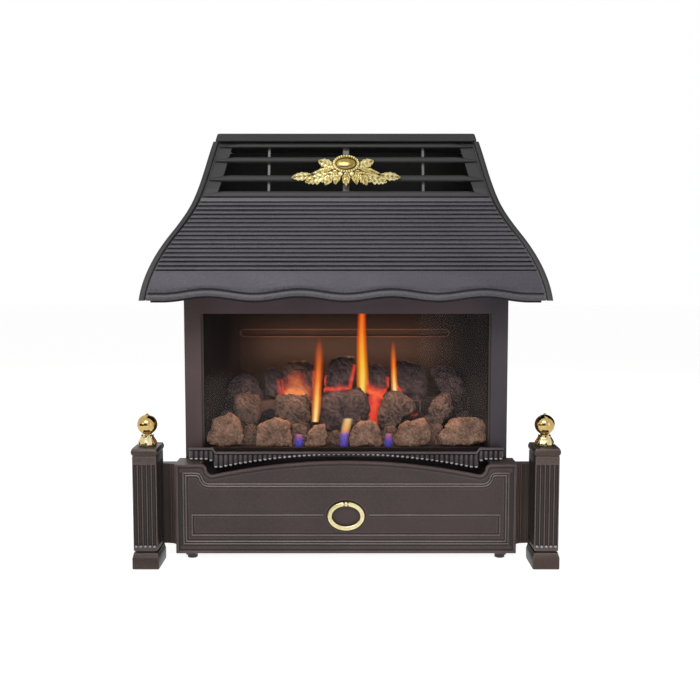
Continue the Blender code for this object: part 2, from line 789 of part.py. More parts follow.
def make_hood_top():
    low = HOOD_TOP + GAP
    high = low + TOP_THICK
    front = hood_front(HOOD_TOP) - TOP_OVERHANG
    rear = at(CASE_BACK)
    rings = []
    for z, half, y in ((low, TOP_HALF, front), (high, TOP_HALF - TOP_SLANT, front + TOP_SLANT / 2)):
        rings.append([(-half, y, z), (half, y, z), (half, rear, z), (-half, rear, z)])
    obj = finished(new_object("hood_top", loft(rings)), "canopy")
    bevel = obj.modifiers.new("Bevel", "BEVEL")
    bevel.width = TOP_BEVEL
    bevel.segments = 1
    bevel.limit_method = "ANGLE"


def badge_place(offset):
    """Place and tilt of a piece that lies on the two middle bars of the grille."""
    heights = grille_heights()
    upper = (heights[2] + heights[3]) / 2
    lower = (heights[4] + heights[5]) / 2
    tilt = math.atan2(hood_front(upper) - hood_front(lower), upper - lower)
    height = heights[-1] + BADGE_RISE
    share = (height - lower) / (upper - lower)
    y = hood_front(lower) + share * (hood_front(upper) - hood_front(lower))
    turn = Matrix.Rotation(-tilt, 4, "X")
    push = Vector((0, -offset, 0))
    push.rotate(turn.to_euler())
    return Matrix.Translation(Vector((0, y, height)) + push) @ turn


def leaf(centre, length, width, angle, thick):
    """A domed leaf, pointed at its far end, on the plane Y = 0."""
    outline = []
    steps = 6
    for i in range(steps + 1):
        t = i / steps
        outline.append((length * (t - 0.5), width / 2 * math.sin(math.pi * t**0.8)))
    under = [(x, -z) for x, z in reversed(outline[1:-1])]
    points = [*outline, *under]
    turn = Matrix.Rotation(angle, 2)
    placed = [Vector(centre) + turn @ Vector(point) for point in points]
    middle = sum(placed, Vector((0, 0))) / len(placed)
    ridge = [middle + (point - middle) * 0.55 for point in placed]
    rings = [
        [(x, 0, z) for x, z in placed],
        [(x, -thick * 0.5, z) for x, z in placed],
        [(x, -thick, z) for x, z in ridge],
    ]
    return loft(rings)


def make_badge():
    """A brass spray of leaves on a flat web, with an oval domed medallion above its middle."""
    web = [(-0.62, -0.11), (0, -0.195), (0.62, -0.11), (0.62, 0), (0.268, 0.11), (-0.268, 0.11), (-0.62, 0)]
    web = [(x * BADGE_HALF, z * BADGE_HALF) for x, z in web]
    obj = new_object("badge_spray", prism(web, -BADGE_THICK * 0.4, 0))
    x, z, length, width = (value * BADGE_HALF for value in BADGE_FAN)
    leaves = [((x, z), length, width, -math.pi / 2)]
    for side in (-1, 1):
        outward = 0 if side > 0 else math.pi
        for *lengths, turn in BADGE_LEAVES:
            x, z, length, width = (value * BADGE_HALF for value in lengths)
            leaves.append(((side * x, z), length, width, outward + side * turn))
    seat = prism(oval((0, MEDAL_OFFSET), MEDAL_HALF * 0.8, MEDAL_RISE * 0.8, 24), -BADGE_THICK, 0)
    boolean(obj, [leaf(*values, BADGE_THICK) for values in leaves] + [seat], "UNION")
    finished(obj, "brass", 40)
    obj.matrix_world = badge_place(SEAT)

    rim = []
    for share, depth in ((1, 0), (1, 0.5), (0.86, 0.75), (0.74, 0.5), (0.6, 0.85), (0.3, 1)):
        points = oval((0, MEDAL_OFFSET), MEDAL_HALF * share, MEDAL_RISE * share, 24)
        rim.append([(x, -depth * MEDAL_THICK, z) for x, z in points])
    medal = finished(new_object("badge_medallion", loft(rim)), "brass", 40)
    medal.matrix_world = badge_place(SEAT + BADGE_THICK + GAP)


# Case: back sheet, sides and floor


def make_case():
    rear = at(CASE_BACK)
    steps = 14
    curve = []
    for i in range(steps + 1):
        z = HOOD_BOTTOM + (HOOD_TOP - HOOD_BOTTOM) * i / steps
        curve.append((hood_half(z), z))
    right = [(SURROUND_HALF, 0), (SURROUND_HALF, HOOD_BOTTOM), *curve]
    left = [(-x, z) for x, z in reversed(right)]
    back = new_object("case_back", prism([*right, *left], rear - SHEET, rear))
    holes = [
        rod((0, SPIGOT_HEIGHT), SPIGOT_RADIUS + GAP, rear - CUT, rear + CUT, sides=SPIGOT_SIDES),
        rod((INLET_X, CONTROL_HEIGHT), PIPE_RADIUS + SEAT, rear - CUT, rear + CUT),
    ]
    finished(boolean(back, holes, "DIFFERENCE"), "case")

    front = at(SURROUND_FRONT + SURROUND_DEPTH) + GAP
    inner = rear - SHEET - GAP
    for name, side in (("case_left_side", -1), ("case_right_side", 1)):
        x = sorted((side * SURROUND_HALF, side * (SURROUND_HALF - SHEET)))
        finished(new_object(name, block(x, (front, inner), (0, SURROUND_TOP))), "case")

    half = SURROUND_HALF - SHEET - GAP
    floor = block((-half, half), (at(FLOOR_FRONT), inner), (FLOOR_HEIGHT, FLOOR_HEIGHT + SHEET))
    finished(new_object("case_floor", floor), "case")


# Firebox: shelf, side panels, back panel, baffle and flue box


def firebox_half(depth):
    """Half width of the tapered firebox at a depth."""
    share = (depth - FIREBOX_FRONT) / (FIREBOX_BACK - FIREBOX_FRONT)
    return WINDOW_HALF + (FIREBOX_BACK_HALF - WINDOW_HALF) * share


def make_firebox():
    half = SURROUND_HALF - SHEET - GAP
    inner = at(CASE_BACK) - SHEET - GAP
    shelf_top = SHELF_HEIGHT + SHEET
    shelf_sides = (at(FIREBOX_FRONT), inner)
    shelf = new_object("firebox_shelf", block((-half, half), shelf_sides, (SHELF_HEIGHT, shelf_top)))
    holes = [
        rod(place, radius + 2 * SEAT, SHELF_HEIGHT - CUT, shelf_top + CUT, "Z")
        for place, radius in (
            ((VENTURI_X, at(VENTURI_DEPTH)), VENTURI_RADIUS),
            ((PILOT_X, at(PILOT_DEPTH)), LEAD_RADIUS),
        )
    ]
    finished(boolean(shelf, holes, "DIFFERENCE"), "case")

    low = shelf_top + GAP
    high = BAFFLE_HEIGHT - GAP
    front = at(FIREBOX_FRONT)
    back = at(FIREBOX_BACK)
    for name, side in (("firebox_left_cheek", -1), ("firebox_right_cheek", 1)):
        plan = [
            (WINDOW_HALF, front),
            (WINDOW_HALF + BOARD, front),
            (FIREBOX_BACK_HALF + BOARD, back + BOARD),
            (FIREBOX_BACK_HALF + GAP, back + BOARD),
            (FIREBOX_BACK_HALF + GAP, back),
        ]
        plan = [(side * x, y) for x, y in plan]
        finished(new_object(name, prism(plan, low, high, "Z")), "brick")

    panel = block((-FIREBOX_BACK_HALF, FIREBOX_BACK_HALF), (back, back + BOARD), (low, high))
    panel = new_object("firebox_back", panel)
    groove = block(
        (GROOVE_END - FIREBOX_BACK_HALF, FIREBOX_BACK_HALF - GROOVE_END),
        (back - BOARD, back + GROOVE_DEPTH),
        (GROOVE_HEIGHT - GROOVE_WIDTH / 2, GROOVE_HEIGHT + GROOVE_WIDTH / 2),
    )
    finished(boolean(panel, [groove], "DIFFERENCE"), "brick")

    baffle_top = BAFFLE_HEIGHT + SHEET
    baffle = block((-half, half), (front, at(BAFFLE_BACK)), (BAFFLE_HEIGHT, baffle_top))
    finished(new_object("firebox_baffle", baffle), "case")

    box_front = at(FLUE_BOX_FRONT)
    outer = block((-FLUE_BOX_HALF, FLUE_BOX_HALF), (box_front, inner), (baffle_top + GAP, FLUE_BOX_TOP))
    hollow = block(
        (SHEET - FLUE_BOX_HALF, FLUE_BOX_HALF - SHEET),
        (box_front + SHEET, inner + SHEET),
        (baffle_top - SHEET, FLUE_BOX_TOP - SHEET),
    )
    finished(boolean(new_object("flue_box", outer), [hollow], "DIFFERENCE"), "case")


def make_spigot():
    """A flanged tube that carries the flue gases through the back sheet."""
    sides = SPIGOT_SIDES
    inner = at(CASE_BACK) - SHEET - GAP
    start = inner - SPIGOT_WALL
    wide = SPIGOT_RADIUS + SPIGOT_FLANGE
    bore = SPIGOT_RADIUS - SPIGOT_WALL
    profile = (
        (bore, start),
        (wide, start),
        (wide, inner),
        (SPIGOT_RADIUS, inner),
        (SPIGOT_RADIUS, DEPTH / 2),
        (bore, DEPTH / 2),
    )
    rings = [[(x, y, z) for x, z in oval((0, SPIGOT_HEIGHT), r, r, sides)] for r, y in profile]
    finished(new_object("flue_spigot", loft(rings, closed=True)), "steel")


# Window: surround, rope seal, glass and its two retainers


def make_window():
    front = at(SURROUND_FRONT)
    face = front + SURROUND_THICK
    rear = front + SURROUND_DEPTH
    outer = rectangle(SURROUND_HALF, SURROUND_BOTTOM, SURROUND_TOP)
    opening = rectangle(WINDOW_HALF, WINDOW_BOTTOM, WINDOW_TOP)
    surround = new_object("window_surround", frame_ring(outer, opening, front, face))
    skirt = frame_ring(outer, inset(outer, 2 * SHEET), front + SHEET, rear)
    finished(boolean(surround, [skirt], "UNION"), "surround")

    lip_back = face + GAP + RETAINER_THICK
    rope_front = lip_back + GAP
    rope_back = rope_front + ROPE_THICK
    glass_front = rope_back + GAP
    lap = GLASS_LAP
    seal = rectangle(WINDOW_HALF + lap - SHEET, WINDOW_BOTTOM - lap + SHEET, WINDOW_TOP + lap - SHEET)
    rope = frame_ring(seal, inset(seal, ROPE_WIDTH), rope_front, rope_back)
    finished(new_object("glass_rope_seal", rope), "rope")

    half = WINDOW_HALF + lap
    sheet = rectangle(half, WINDOW_BOTTOM - lap, WINDOW_TOP + lap)
    glass_back = glass_front + GLASS_THICK
    finished(new_object("window_glass", prism(sheet, glass_front, glass_back)), "glass")

    low = WINDOW_BOTTOM - lap
    high = WINDOW_TOP + lap
    leg = half + GAP
    for name, side in (("glass_retainer_left", -1), ("glass_retainer_right", 1)):
        plan = [
            (WINDOW_HALF - RETAINER_LIP, face + GAP),
            (leg + RETAINER_THICK, face + GAP),
            (leg + RETAINER_THICK, glass_back),
            (leg, glass_back),
            (leg, lip_back),
            (WINDOW_HALF - RETAINER_LIP, lip_back),
        ]
        plan = [(side * x, y) for x, y in plan]
        finished(new_object(name, prism(plan, low, high, "Z")), "steel")


# Fuel bed: burner, stepped ceramic bed and coals


def slot_places():
    """Centres of the flame slots: a row behind the front coals and one before the rear coals."""
    row_1 = BED_STEP_1 + SLOT_MARGIN_1
    row_2 = BED_STEP_2 - SLOT_MARGIN_2
    return [(i * SLOT_PITCH, row) for row in (row_1, row_2) for i in (-2, -1, 0, 1, 2)]


def make_burner():
    low = SHELF_HEIGHT + SHEET + GAP
    high = low + BURNER_HEIGHT
    wall = VENTURI_WALL
    y = (at(BURNER_FRONT), at(BURNER_BACK))
    burner = new_object("burner", block((-BURNER_HALF, BURNER_HALF), y, (low, high)))
    centre = (VENTURI_X, at(VENTURI_DEPTH))
    boolean(burner, [rod(centre, VENTURI_RADIUS, VENTURI_BOTTOM, low + wall, "Z")], "UNION")
    tools = [
        block(
            (wall - BURNER_HALF, BURNER_HALF - wall),
            (y[0] + wall, y[1] - wall),
            (low + wall, high - wall),
        ),
        rod(centre, VENTURI_RADIUS - wall, VENTURI_BOTTOM - wall, low + 3 * wall, "Z"),
    ]
    for x, depth in slot_places():
        half = SLOT_LENGTH / 2
        tools.append(
            block((x - half, x + half), (at(depth) - wall, at(depth) + wall), (high - 3 * wall, high + wall))
        )
    finished(boolean(burner, tools, "DIFFERENCE"), "steel")

    nozzle_top = VENTURI_BOTTOM + NOZZLE_ENTRY
    cone = nozzle_top - NOZZLE_CONE
    nut_top = cone - NOZZLE_LENGTH
    nut_low = nut_top - INJECTOR_NUT
    profile = (
        (INJECTOR_RADIUS, nut_low),
        (INJECTOR_RADIUS, nut_top),
        (NOZZLE_RADIUS, nut_top),
        (NOZZLE_RADIUS, cone),
        (NOZZLE_TIP, nozzle_top),
    )
    injector = finished(new_object("injector", turned(profile, 6)), "brass", 20)
    injector.location = (*centre, 0)

    outlet = Vector((TAP_X - TAP_WIDTH / 2 - GAP, at(BRACKET_FRONT) + TAP_DEPTH * 0.6, CONTROL_HEIGHT))
    end = Vector((*centre, nut_low - GAP))
    bend = outlet - Vector((PIPE_LEAD, 0, 0))
    rise = end - Vector((0, 0, PIPE_LEAD * 0.7))
    route = [outlet, bend]
    for share, sag in ((0.5, 0.7), (0.85, 0.35)):
        place = bend.lerp(rise, share)
        place.z = bend.z + (rise.z - bend.z) * share**2 - sag * PIPE_RADIUS
        route.append(place)
    route += [rise, end]
    finished(new_object("feed_pipe", pipe("feed_pipe", route, PIPE_RADIUS, "brass")), "brass")


def make_bed():
    low = SHELF_HEIGHT + SHEET + GAP + BURNER_HEIGHT + GAP
    steps = (
        (BED_FRONT, BED_TOP_1),
        (BED_STEP_1, BED_TOP_1),
        (BED_STEP_1, BED_TOP_2),
        (BED_STEP_2, BED_TOP_2),
        (BED_STEP_2, BED_TOP_3),
        (BED_BACK, BED_TOP_3),
        (BED_BACK, low),
        (BED_FRONT, low),
    )
    rings = []
    for side in (-1, 1):
        rings.append([(side * (firebox_half(d) - BED_SIDE), at(d), z) for d, z in steps])
    bed = new_object("fuel_bed", loft(rings))
    tools = []
    for x, depth in slot_places():
        half = SLOT_LENGTH / 2
        wide = SLOT_WIDTH / 2
        y = (at(depth) - wide, at(depth) + wide)
        tools.append(block((x - half, x + half), y, (low - CUT, BED_TOP_3 + CUT)))
    finished(boolean(bed, tools, "DIFFERENCE"), "brick")


def lump(x, depth, seat, width, deep, height, seed):
    """A rough coal with a flat bottom: a ball pulled about by a few sines."""
    shape = bmesh.new()
    bmesh.ops.create_icosphere(shape, subdivisions=2, radius=1)
    for vert in shape.verts:
        c = vert.co
        pull = 1 + 0.10 * math.sin(3.1 * c.x + seed) * math.cos(2.7 * c.z - seed)
        pull += 0.07 * math.sin(5.3 * c.y + 2 * seed + 3 * c.x)
        squared = [math.copysign(abs(v) ** 0.72, v) for v in c]
        vert.co = Vector(
            (
                x + squared[0] * pull * width / 2 * 0.9,
                at(depth) + squared[1] * deep / 2 * 0.9,
                max(seat, seat + height * (0.45 + 0.54 * squared[2] * pull)),
            )
        )
    return shape


def coal_shapes(coals, depth, deep, seat, tallest):
    """The rough coals of one row. Each one's seed makes its own shape."""
    shapes = []
    for i, (place, share, height) in enumerate(coals):
        size = (share * WINDOW_HALF, deep, height * tallest)
        shapes.append(lump(place * WINDOW_HALF, depth, seat, *size, 3 * i + len(coals)))
    return shapes


def coal_strip(name, coals, depth, deep, seat, tallest):
    """A row of coals joined by one thin moulding."""
    rings = []
    top = seat + COAL_STRIP
    near, far = depth - deep / 2, depth + deep / 2
    for side in (-1, 1):
        x0, x1 = (side * (firebox_half(d) - 2 * BED_SIDE) for d in (near, far))
        rings.append([(x0, at(near), seat), (x1, at(far), seat), (x1, at(far), top), (x0, at(near), top)])
    strip = new_object(name, loft(rings))
    lumps = coal_shapes(coals, depth, deep * 1.06, seat + JOIN, tallest - JOIN)
    finished(boolean(strip, lumps, "UNION"), "coal", 30)


def make_coals():
    deep = (BED_BACK - BED_STEP_2) * 0.78
    coal_strip("rear_coals", REAR_COALS, BED_STEP_2 + deep / 2, deep, BED_TOP_3 + GAP, REAR_COAL_HEIGHT)
    deep = (BED_STEP_1 - BED_FRONT) * 0.71
    middle = (BED_STEP_1 + BED_FRONT) / 2
    coal_strip("front_coals", FRONT_COALS, middle, deep, BED_TOP_1 + GAP, FRONT_COAL_HEIGHT)
    deep = (BED_STEP_2 - BED_STEP_1) * 0.92
    middle = (BED_STEP_2 + BED_STEP_1) / 2
    shapes = coal_shapes(LOOSE_COALS, middle, deep, BED_TOP_2 + GAP, LOOSE_COAL_HEIGHT)
    for i, shape in enumerate(shapes):
        finished(new_object(f"loose_coal_{i + 1}", shape), "coal", 30)


# Controls: bracket, tap, knob, igniter, inlet pipe and pilot


def make_controls():
    y = at(BRACKET_FRONT)
    low = FLOOR_HEIGHT + SHEET + GAP
    profile = [
        (y, low),
        (y + BRACKET_FOOT, low),
        (y + BRACKET_FOOT, low + SHEET),
        (y + SHEET, low + SHEET),
        (y + SHEET, BRACKET_TOP),
        (y, BRACKET_TOP),
    ]
    bracket = new_object("control_bracket", prism(profile, BRACKET_LEFT, BRACKET_RIGHT, "X"))
    holes = [
        rod((TAP_X, CONTROL_HEIGHT), TAP_NECK_RADIUS + GAP, y - CUT, y + CUT),
        rod((IGNITER_X, IGNITER_HEIGHT), IGNITER_RADIUS + GAP, y - CUT, y + CUT),
    ]
    finished(boolean(bracket, holes, "DIFFERENCE"), "case")

    tap_front = y + SHEET + GAP
    tap_y = (tap_front, tap_front + TAP_DEPTH)
    tap_x = (TAP_X - TAP_WIDTH / 2, TAP_X + TAP_WIDTH / 2)
    tap_z = (CONTROL_HEIGHT - TAP_HEIGHT / 2, CONTROL_HEIGHT + TAP_HEIGHT / 2)
    tap = new_object("gas_tap", block(tap_x, tap_y, tap_z))
    axis = (TAP_X, CONTROL_HEIGHT)
    neck_front = y - TAP_NECK
    boolean(tap, [rod(axis, TAP_NECK_RADIUS, neck_front, tap_front + JOIN)], "UNION")
    bore_end = at(SPINDLE_BACK) + KNOB_TRAVEL + SEAT
    bore = rod(axis, SPINDLE_RADIUS + SPINDLE_PLAY, neck_front - CUT, bore_end)
    finished(boolean(tap, [bore], "DIFFERENCE"), "brass")

    knob_back = at(KNOB_BACK)
    knob_front = knob_back - KNOB_THICK
    spindle_front = knob_front + KNOB_FACE
    spindle = rod(axis, SPINDLE_RADIUS, spindle_front, at(SPINDLE_BACK))
    spindle = finished(new_object("tap_spindle", spindle), "steel")
    put_origin(spindle, (TAP_X, spindle_front, CONTROL_HEIGHT))

    knob = new_object("control_knob", rod(axis, KNOB_RADIUS, knob_front, knob_back, sides=24))
    socket = rod(axis, SPINDLE_RADIUS + GAP, spindle_front - GAP, knob_back + CUT)
    boolean(knob, [socket], "DIFFERENCE")
    finished(knob, "plastic")
    put_origin(knob, (TAP_X, knob_back, CONTROL_HEIGHT))

    collar_front = knob_back + GAP
    collar_back = collar_front + COLLAR_LENGTH
    rings = []
    inner = SPINDLE_RADIUS + SPINDLE_PLAY
    places = (
        (COLLAR_RADIUS, collar_front),
        (COLLAR_RADIUS, collar_back),
        (inner, collar_back),
        (inner, collar_front),
    )
    for radius, depth in places:
        rings.append([(x, depth, z) for x, z in oval(axis, radius, radius)])
    collar = finished(new_object("tap_collar", loft(rings, closed=True)), "steel")
    put_origin(collar, (TAP_X, collar_front, CONTROL_HEIGHT))

    axis = (IGNITER_X, IGNITER_HEIGHT)
    igniter = new_object("igniter_body", rod(axis, IGNITER_RADIUS, at(IGNITER_FRONT), at(IGNITER_BACK)))
    flange = rod(axis, IGNITER_FLANGE, y - GAP - IGNITER_FLANGE_THICK, y - GAP)
    boolean(igniter, [flange], "UNION")
    bore_end = at(BUTTON_END) + BUTTON_TRAVEL + SEAT
    bore = rod(axis, BUTTON_STEM + SPINDLE_PLAY, at(IGNITER_FRONT) - CUT, bore_end)
    finished(boolean(igniter, [bore], "DIFFERENCE"), "plastic")

    head_back = at(BUTTON_FRONT) + BUTTON_HEAD
    button = new_object("igniter_button", rod(axis, BUTTON_RADIUS, at(BUTTON_FRONT), head_back))
    boolean(button, [rod(axis, BUTTON_STEM, head_back - JOIN, at(BUTTON_END))], "UNION")
    finished(button, "plastic")
    put_origin(button, (IGNITER_X, head_back, IGNITER_HEIGHT))

    start = Vector((TAP_X + TAP_WIDTH / 2 + GAP, tap_front + TAP_DEPTH * 0.6, CONTROL_HEIGHT))
    corner = Vector((INLET_X, start.y, CONTROL_HEIGHT))
    end = Vector((INLET_X, at(INLET_END) - JOIN, CONTROL_HEIGHT))
    route = [
        start,
        start + Vector((PIPE_LEAD, 0, 0)),
        corner + Vector((-PIPE_RADIUS, PIPE_RADIUS, 0)),
        corner + Vector((0, 6 * PIPE_RADIUS, 0)),
        corner.lerp(end, 0.4),
        end,
    ]
    inlet = new_object("inlet_pipe", pipe("inlet_pipe", route, PIPE_RADIUS, "brass"))
    axis = (INLET_X, CONTROL_HEIGHT)
    nut = rod(axis, NUT_RADIUS, at(INLET_END) - NUT_LENGTH, at(INLET_END), sides=6)
    finished(boolean(inlet, [nut], "UNION"), "brass", 30)


def make_pilot():
    """A pilot jet and a spark electrode on the shelf, under the bed's right end."""
    foot = SHELF_HEIGHT + SHEET + GAP
    flange = foot + JET_HEIGHT * 0.2
    profile = (
        (JET_FOOT, foot),
        (JET_FOOT, flange),
        (JET_RADIUS, flange),
        (JET_RADIUS, foot + JET_HEIGHT - JET_MOUTH),
        (JET_MOUTH, foot + JET_HEIGHT),
    )
    jet = finished(new_object("pilot_jet", turned(profile, 12)), "brass", 30)
    jet.location = (PILOT_X, at(PILOT_DEPTH + PILOT_SPACING), 0)
    insulator = foot + INSULATOR_HEIGHT
    profile = (
        (INSULATOR_RADIUS, foot),
        (INSULATOR_RADIUS, insulator),
        (ROD_RADIUS, insulator + ROD_RADIUS),
        (ROD_RADIUS, foot + JET_HEIGHT),
    )
    electrode = finished(new_object("spark_electrode", turned(profile, 12)), "ceramic", 30)
    electrode.location = (PILOT_X, at(PILOT_DEPTH), 0)
    start = Vector((IGNITER_X, at(IGNITER_BACK) + GAP, IGNITER_HEIGHT))
    end = Vector((PILOT_X, at(PILOT_DEPTH), foot - GAP))
    rise = end.z - start.z
    route = [
        start,
        start + Vector((0, rise * 0.15, 0)),
        end + Vector((0, -rise * 0.1, -rise * 0.55)),
        end + Vector((0, 0, -rise * 0.25)),
        end,
    ]
    finished(new_object("ignition_lead", pipe("ignition_lead", route, LEAD_RADIUS, "plastic", 1)), "plastic")


# Front castings: posts, wings, fret panel, ring pull and grate


def level(width, depth, inset, z):
    """The corners of an oblong at height z, drawn in from its sides."""
    x = width / 2 - inset
    y = depth / 2 - inset
    return [(-x, -y, z), (x, -y, z), (x, y, z), (-x, y, z)]


def make_post(name, side):
    """A fluted post on a plinth, hollow at the back, with its origin under its middle."""
    shaft_low = PLINTH_HEIGHT + PLINTH_BEVEL + NECK_HEIGHT
    shaft_high = POST_HEIGHT - CAP_HEIGHT - GAP
    neck_low = PLINTH_HEIGHT + PLINTH_BEVEL
    front = -SHAFT_DEPTH / 2
    rings = [
        level(PLINTH_WIDTH, PLINTH_DEPTH, 0, 0),
        level(PLINTH_WIDTH, PLINTH_DEPTH, 0, PLINTH_HEIGHT),
        level(SHAFT_WIDTH, SHAFT_DEPTH, 0, neck_low),
        level(SHAFT_WIDTH, SHAFT_DEPTH, NECK_INSET, neck_low),
        level(SHAFT_WIDTH, SHAFT_DEPTH, NECK_INSET, shaft_low),
        level(SHAFT_WIDTH, SHAFT_DEPTH, 0, shaft_low),
        level(SHAFT_WIDTH, SHAFT_DEPTH, 0, shaft_high),
    ]
    post = new_object(name, loft(rings))
    low = shaft_low + FLUTE_END
    high = shaft_high - FLUTE_TOP
    tools = []
    for i in range(FLUTE_COUNT):
        x = (i - (FLUTE_COUNT - 1) / 2) * FLUTE_PITCH
        outline = [(x + FLUTE_WIDTH / 2, front - JOIN), (x - FLUTE_WIDTH / 2, front - JOIN)]
        for step in range(5):
            turn = math.pi * step / 4
            outline.append((x - FLUTE_WIDTH / 2 * math.cos(turn), FLUTE_DEPTH * math.sin(turn) + front))
        tools.append(prism(outline, low, high, "Z"))
    pocket = SHAFT_WIDTH / 2 - POST_WALL
    tools.append(
        block((-pocket, pocket), (front + POST_WALL, PLINTH_DEPTH), (shaft_low, shaft_high - POST_WALL))
    )
    boolean(post, tools, "DIFFERENCE")
    finished(post, "fret")
    post.location = (side * post_x(), at(PLINTH_DEPTH / 2), 0)


def post_x():
    return WIDTH / 2 - PLINTH_WIDTH / 2


def make_cap(name, side):
    rings = []
    for rise, inset in ((0, 1), (0.2, 1 / 3), (0.5, 0), (0.8, 1 / 3), (1, 1)):
        z = POST_HEIGHT - CAP_HEIGHT * (1 - rise)
        rings.append(level(CAP_WIDTH, CAP_DEPTH, CAP_CHAMFER * inset, z))
    cap = finished(new_object(name, loft(rings)), "fret", 50)
    cap.location = (side * post_x(), at(PLINTH_DEPTH / 2), 0)


def make_finial(side_name, side):
    place = (side * post_x(), at(PLINTH_DEPTH / 2), POST_HEIGHT + GAP)
    rings = []
    sides = 2 * PETAL_COUNT
    profile = ((1, 0), (1, 0.12), (0.86, 0.3), (0.6, 0.55), (0.43, 0.8), (0.5, 0.93), (0.43, 1))
    for share, rise in profile:
        ring = []
        for i in range(sides):
            petal = 0.9 if i % 2 and rise < 0.7 else 1
            radius = FINIAL_FOOT_RADIUS * share * petal
            turn = 2 * math.pi * i / sides
            ring.append((radius * math.cos(turn), radius * math.sin(turn), rise * FINIAL_FOOT_HEIGHT))
        rings.append(ring)
    foot = finished(new_object(f"finial_foot_{side_name}", loft(rings)), "brass", 60)
    foot.location = place

    seat_radius = FINIAL_STEM_RADIUS * 0.6
    low = math.asin(seat_radius / BALL_RADIUS)
    profile = []
    steps = 10
    for i in range(steps + 1):
        turn = low + (math.pi - 0.25 - low) * i / steps
        profile.append((BALL_RADIUS * math.sin(turn), BALL_RADIUS * (math.cos(low) - math.cos(turn))))
    top = profile[-1][1]
    profile += [(BALL_TIP_RADIUS, top + BALL_TIP * 0.5), (0, top + BALL_TIP)]
    ball = finished(new_object(f"finial_ball_{side_name}", turned(profile, 20)), "brass", 60)
    ball.location = Vector(place) + Vector((0, 0, FINIAL_FOOT_HEIGHT + GAP))


def step_curve(x0, z0, x1, z1, steps=8):
    """An S from one level to another, flat at both ends."""
    points = []
    for i in range(1, steps):
        t = i / steps
        points.append((x0 + (x1 - x0) * t, z0 + (z1 - z0) * (0.5 - 0.5 * math.cos(math.pi * t))))
    return points


def arch(half, low, crown, steps=16):
    """A shallow arch between two feet, from right to left."""
    return [(half * math.cos(a), low + (crown - low) * (1 - math.cos(a) ** 2))
            for a in (math.pi * i / steps for i in range(steps + 1))]


def mirrored(points):
    return [(-x, z) for x, z in reversed(points)]


def fret_outline():
    """The panel's edge, anticlockwise from its bottom left corner."""
    right = [(FRET_HALF, FRET_CORNER), (FRET_SHOULDER, FRET_CORNER)]
    right += step_curve(FRET_SHOULDER, FRET_CORNER, FRET_TOE, FRET_DIP)
    top = [*right, *arch(FRET_TOE, FRET_DIP, FRET_CROWN), *mirrored(right)]
    return [(-FRET_HALF, FRET_BOTTOM), (FRET_HALF, FRET_BOTTOM), *top]


def bead_outline():
    right = [(BEAD_HALF, BEAD_TOP), (BEAD_SHOULDER, BEAD_TOP)]
    right += step_curve(BEAD_SHOULDER, BEAD_TOP, BEAD_TOE, BEAD_FIELD)
    right.append((BEAD_TOE, BEAD_FIELD))
    return [(-BEAD_HALF, BEAD_BOTTOM), (BEAD_HALF, BEAD_BOTTOM), *right, *mirrored(right)]


def make_fret():
    """The loose lower panel: a raised rim, two beads, an oval dish for the ring and two feet."""
    front = at(FRET_FRONT)
    face = front + FRET_RELIEF
    rear = face + FRET_THICK
    outline = fret_outline()
    panel = new_object("fret_panel", prism(outline, face, rear))
    inside = face + JOIN
    bead = bead_outline()
    field = rectangle(FIELD_HALF, FIELD_BOTTOM, FIELD_TOP)
    lug = (FRET_BOTTOM - FOOT_LUG / 3, FRET_BOTTOM + FOOT_LUG * 2 / 3)
    reach = at(FOOT_DEPTH)
    additions = [
        frame_ring(outline, inset(outline, RIM_WIDTH), front, inside),
        frame_ring(bead, inset(bead, BEAD_WIDTH), face - BEAD_RELIEF, inside),
        frame_ring(field, inset(field, FIELD_BEAD), face - BEAD_RELIEF, inside),
    ]
    for side in (-1, 1):
        x = side * FOOT_X
        additions.append(block((x - FOOT_RADIUS, x + FOOT_RADIUS), (face + JOIN, reach), lug))
        additions.append(rod((x, reach), FOOT_RADIUS, 0, lug[1] - JOIN, "Z"))
    boolean(panel, additions, "UNION")
    dish_half = RING_HALF + DISH_MARGIN
    dish_rise = RING_RISE + DISH_MARGIN * 0.7
    dish = prism(oval((0, RING_HEIGHT), dish_half, dish_rise, 32), front - CUT, face + JOIN)
    boolean(panel, [dish], "DIFFERENCE")
    rim = frame_ring(
        oval((0, RING_HEIGHT), dish_half, dish_rise, 32),
        oval((0, RING_HEIGHT), dish_half - DISH_RIM, dish_rise - DISH_RIM, 32),
        face - BEAD_RELIEF,
        face + 2 * JOIN,
    )
    boolean(panel, [rim], "UNION")
    finished(panel, "fret")


def ring_axis():
    """The ring pull's pin: its height, and its Y."""
    return RING_HEIGHT + RING_RISE - RING_BAND / 2, at(FRET_FRONT) - RING_THICK / 2 + JOIN


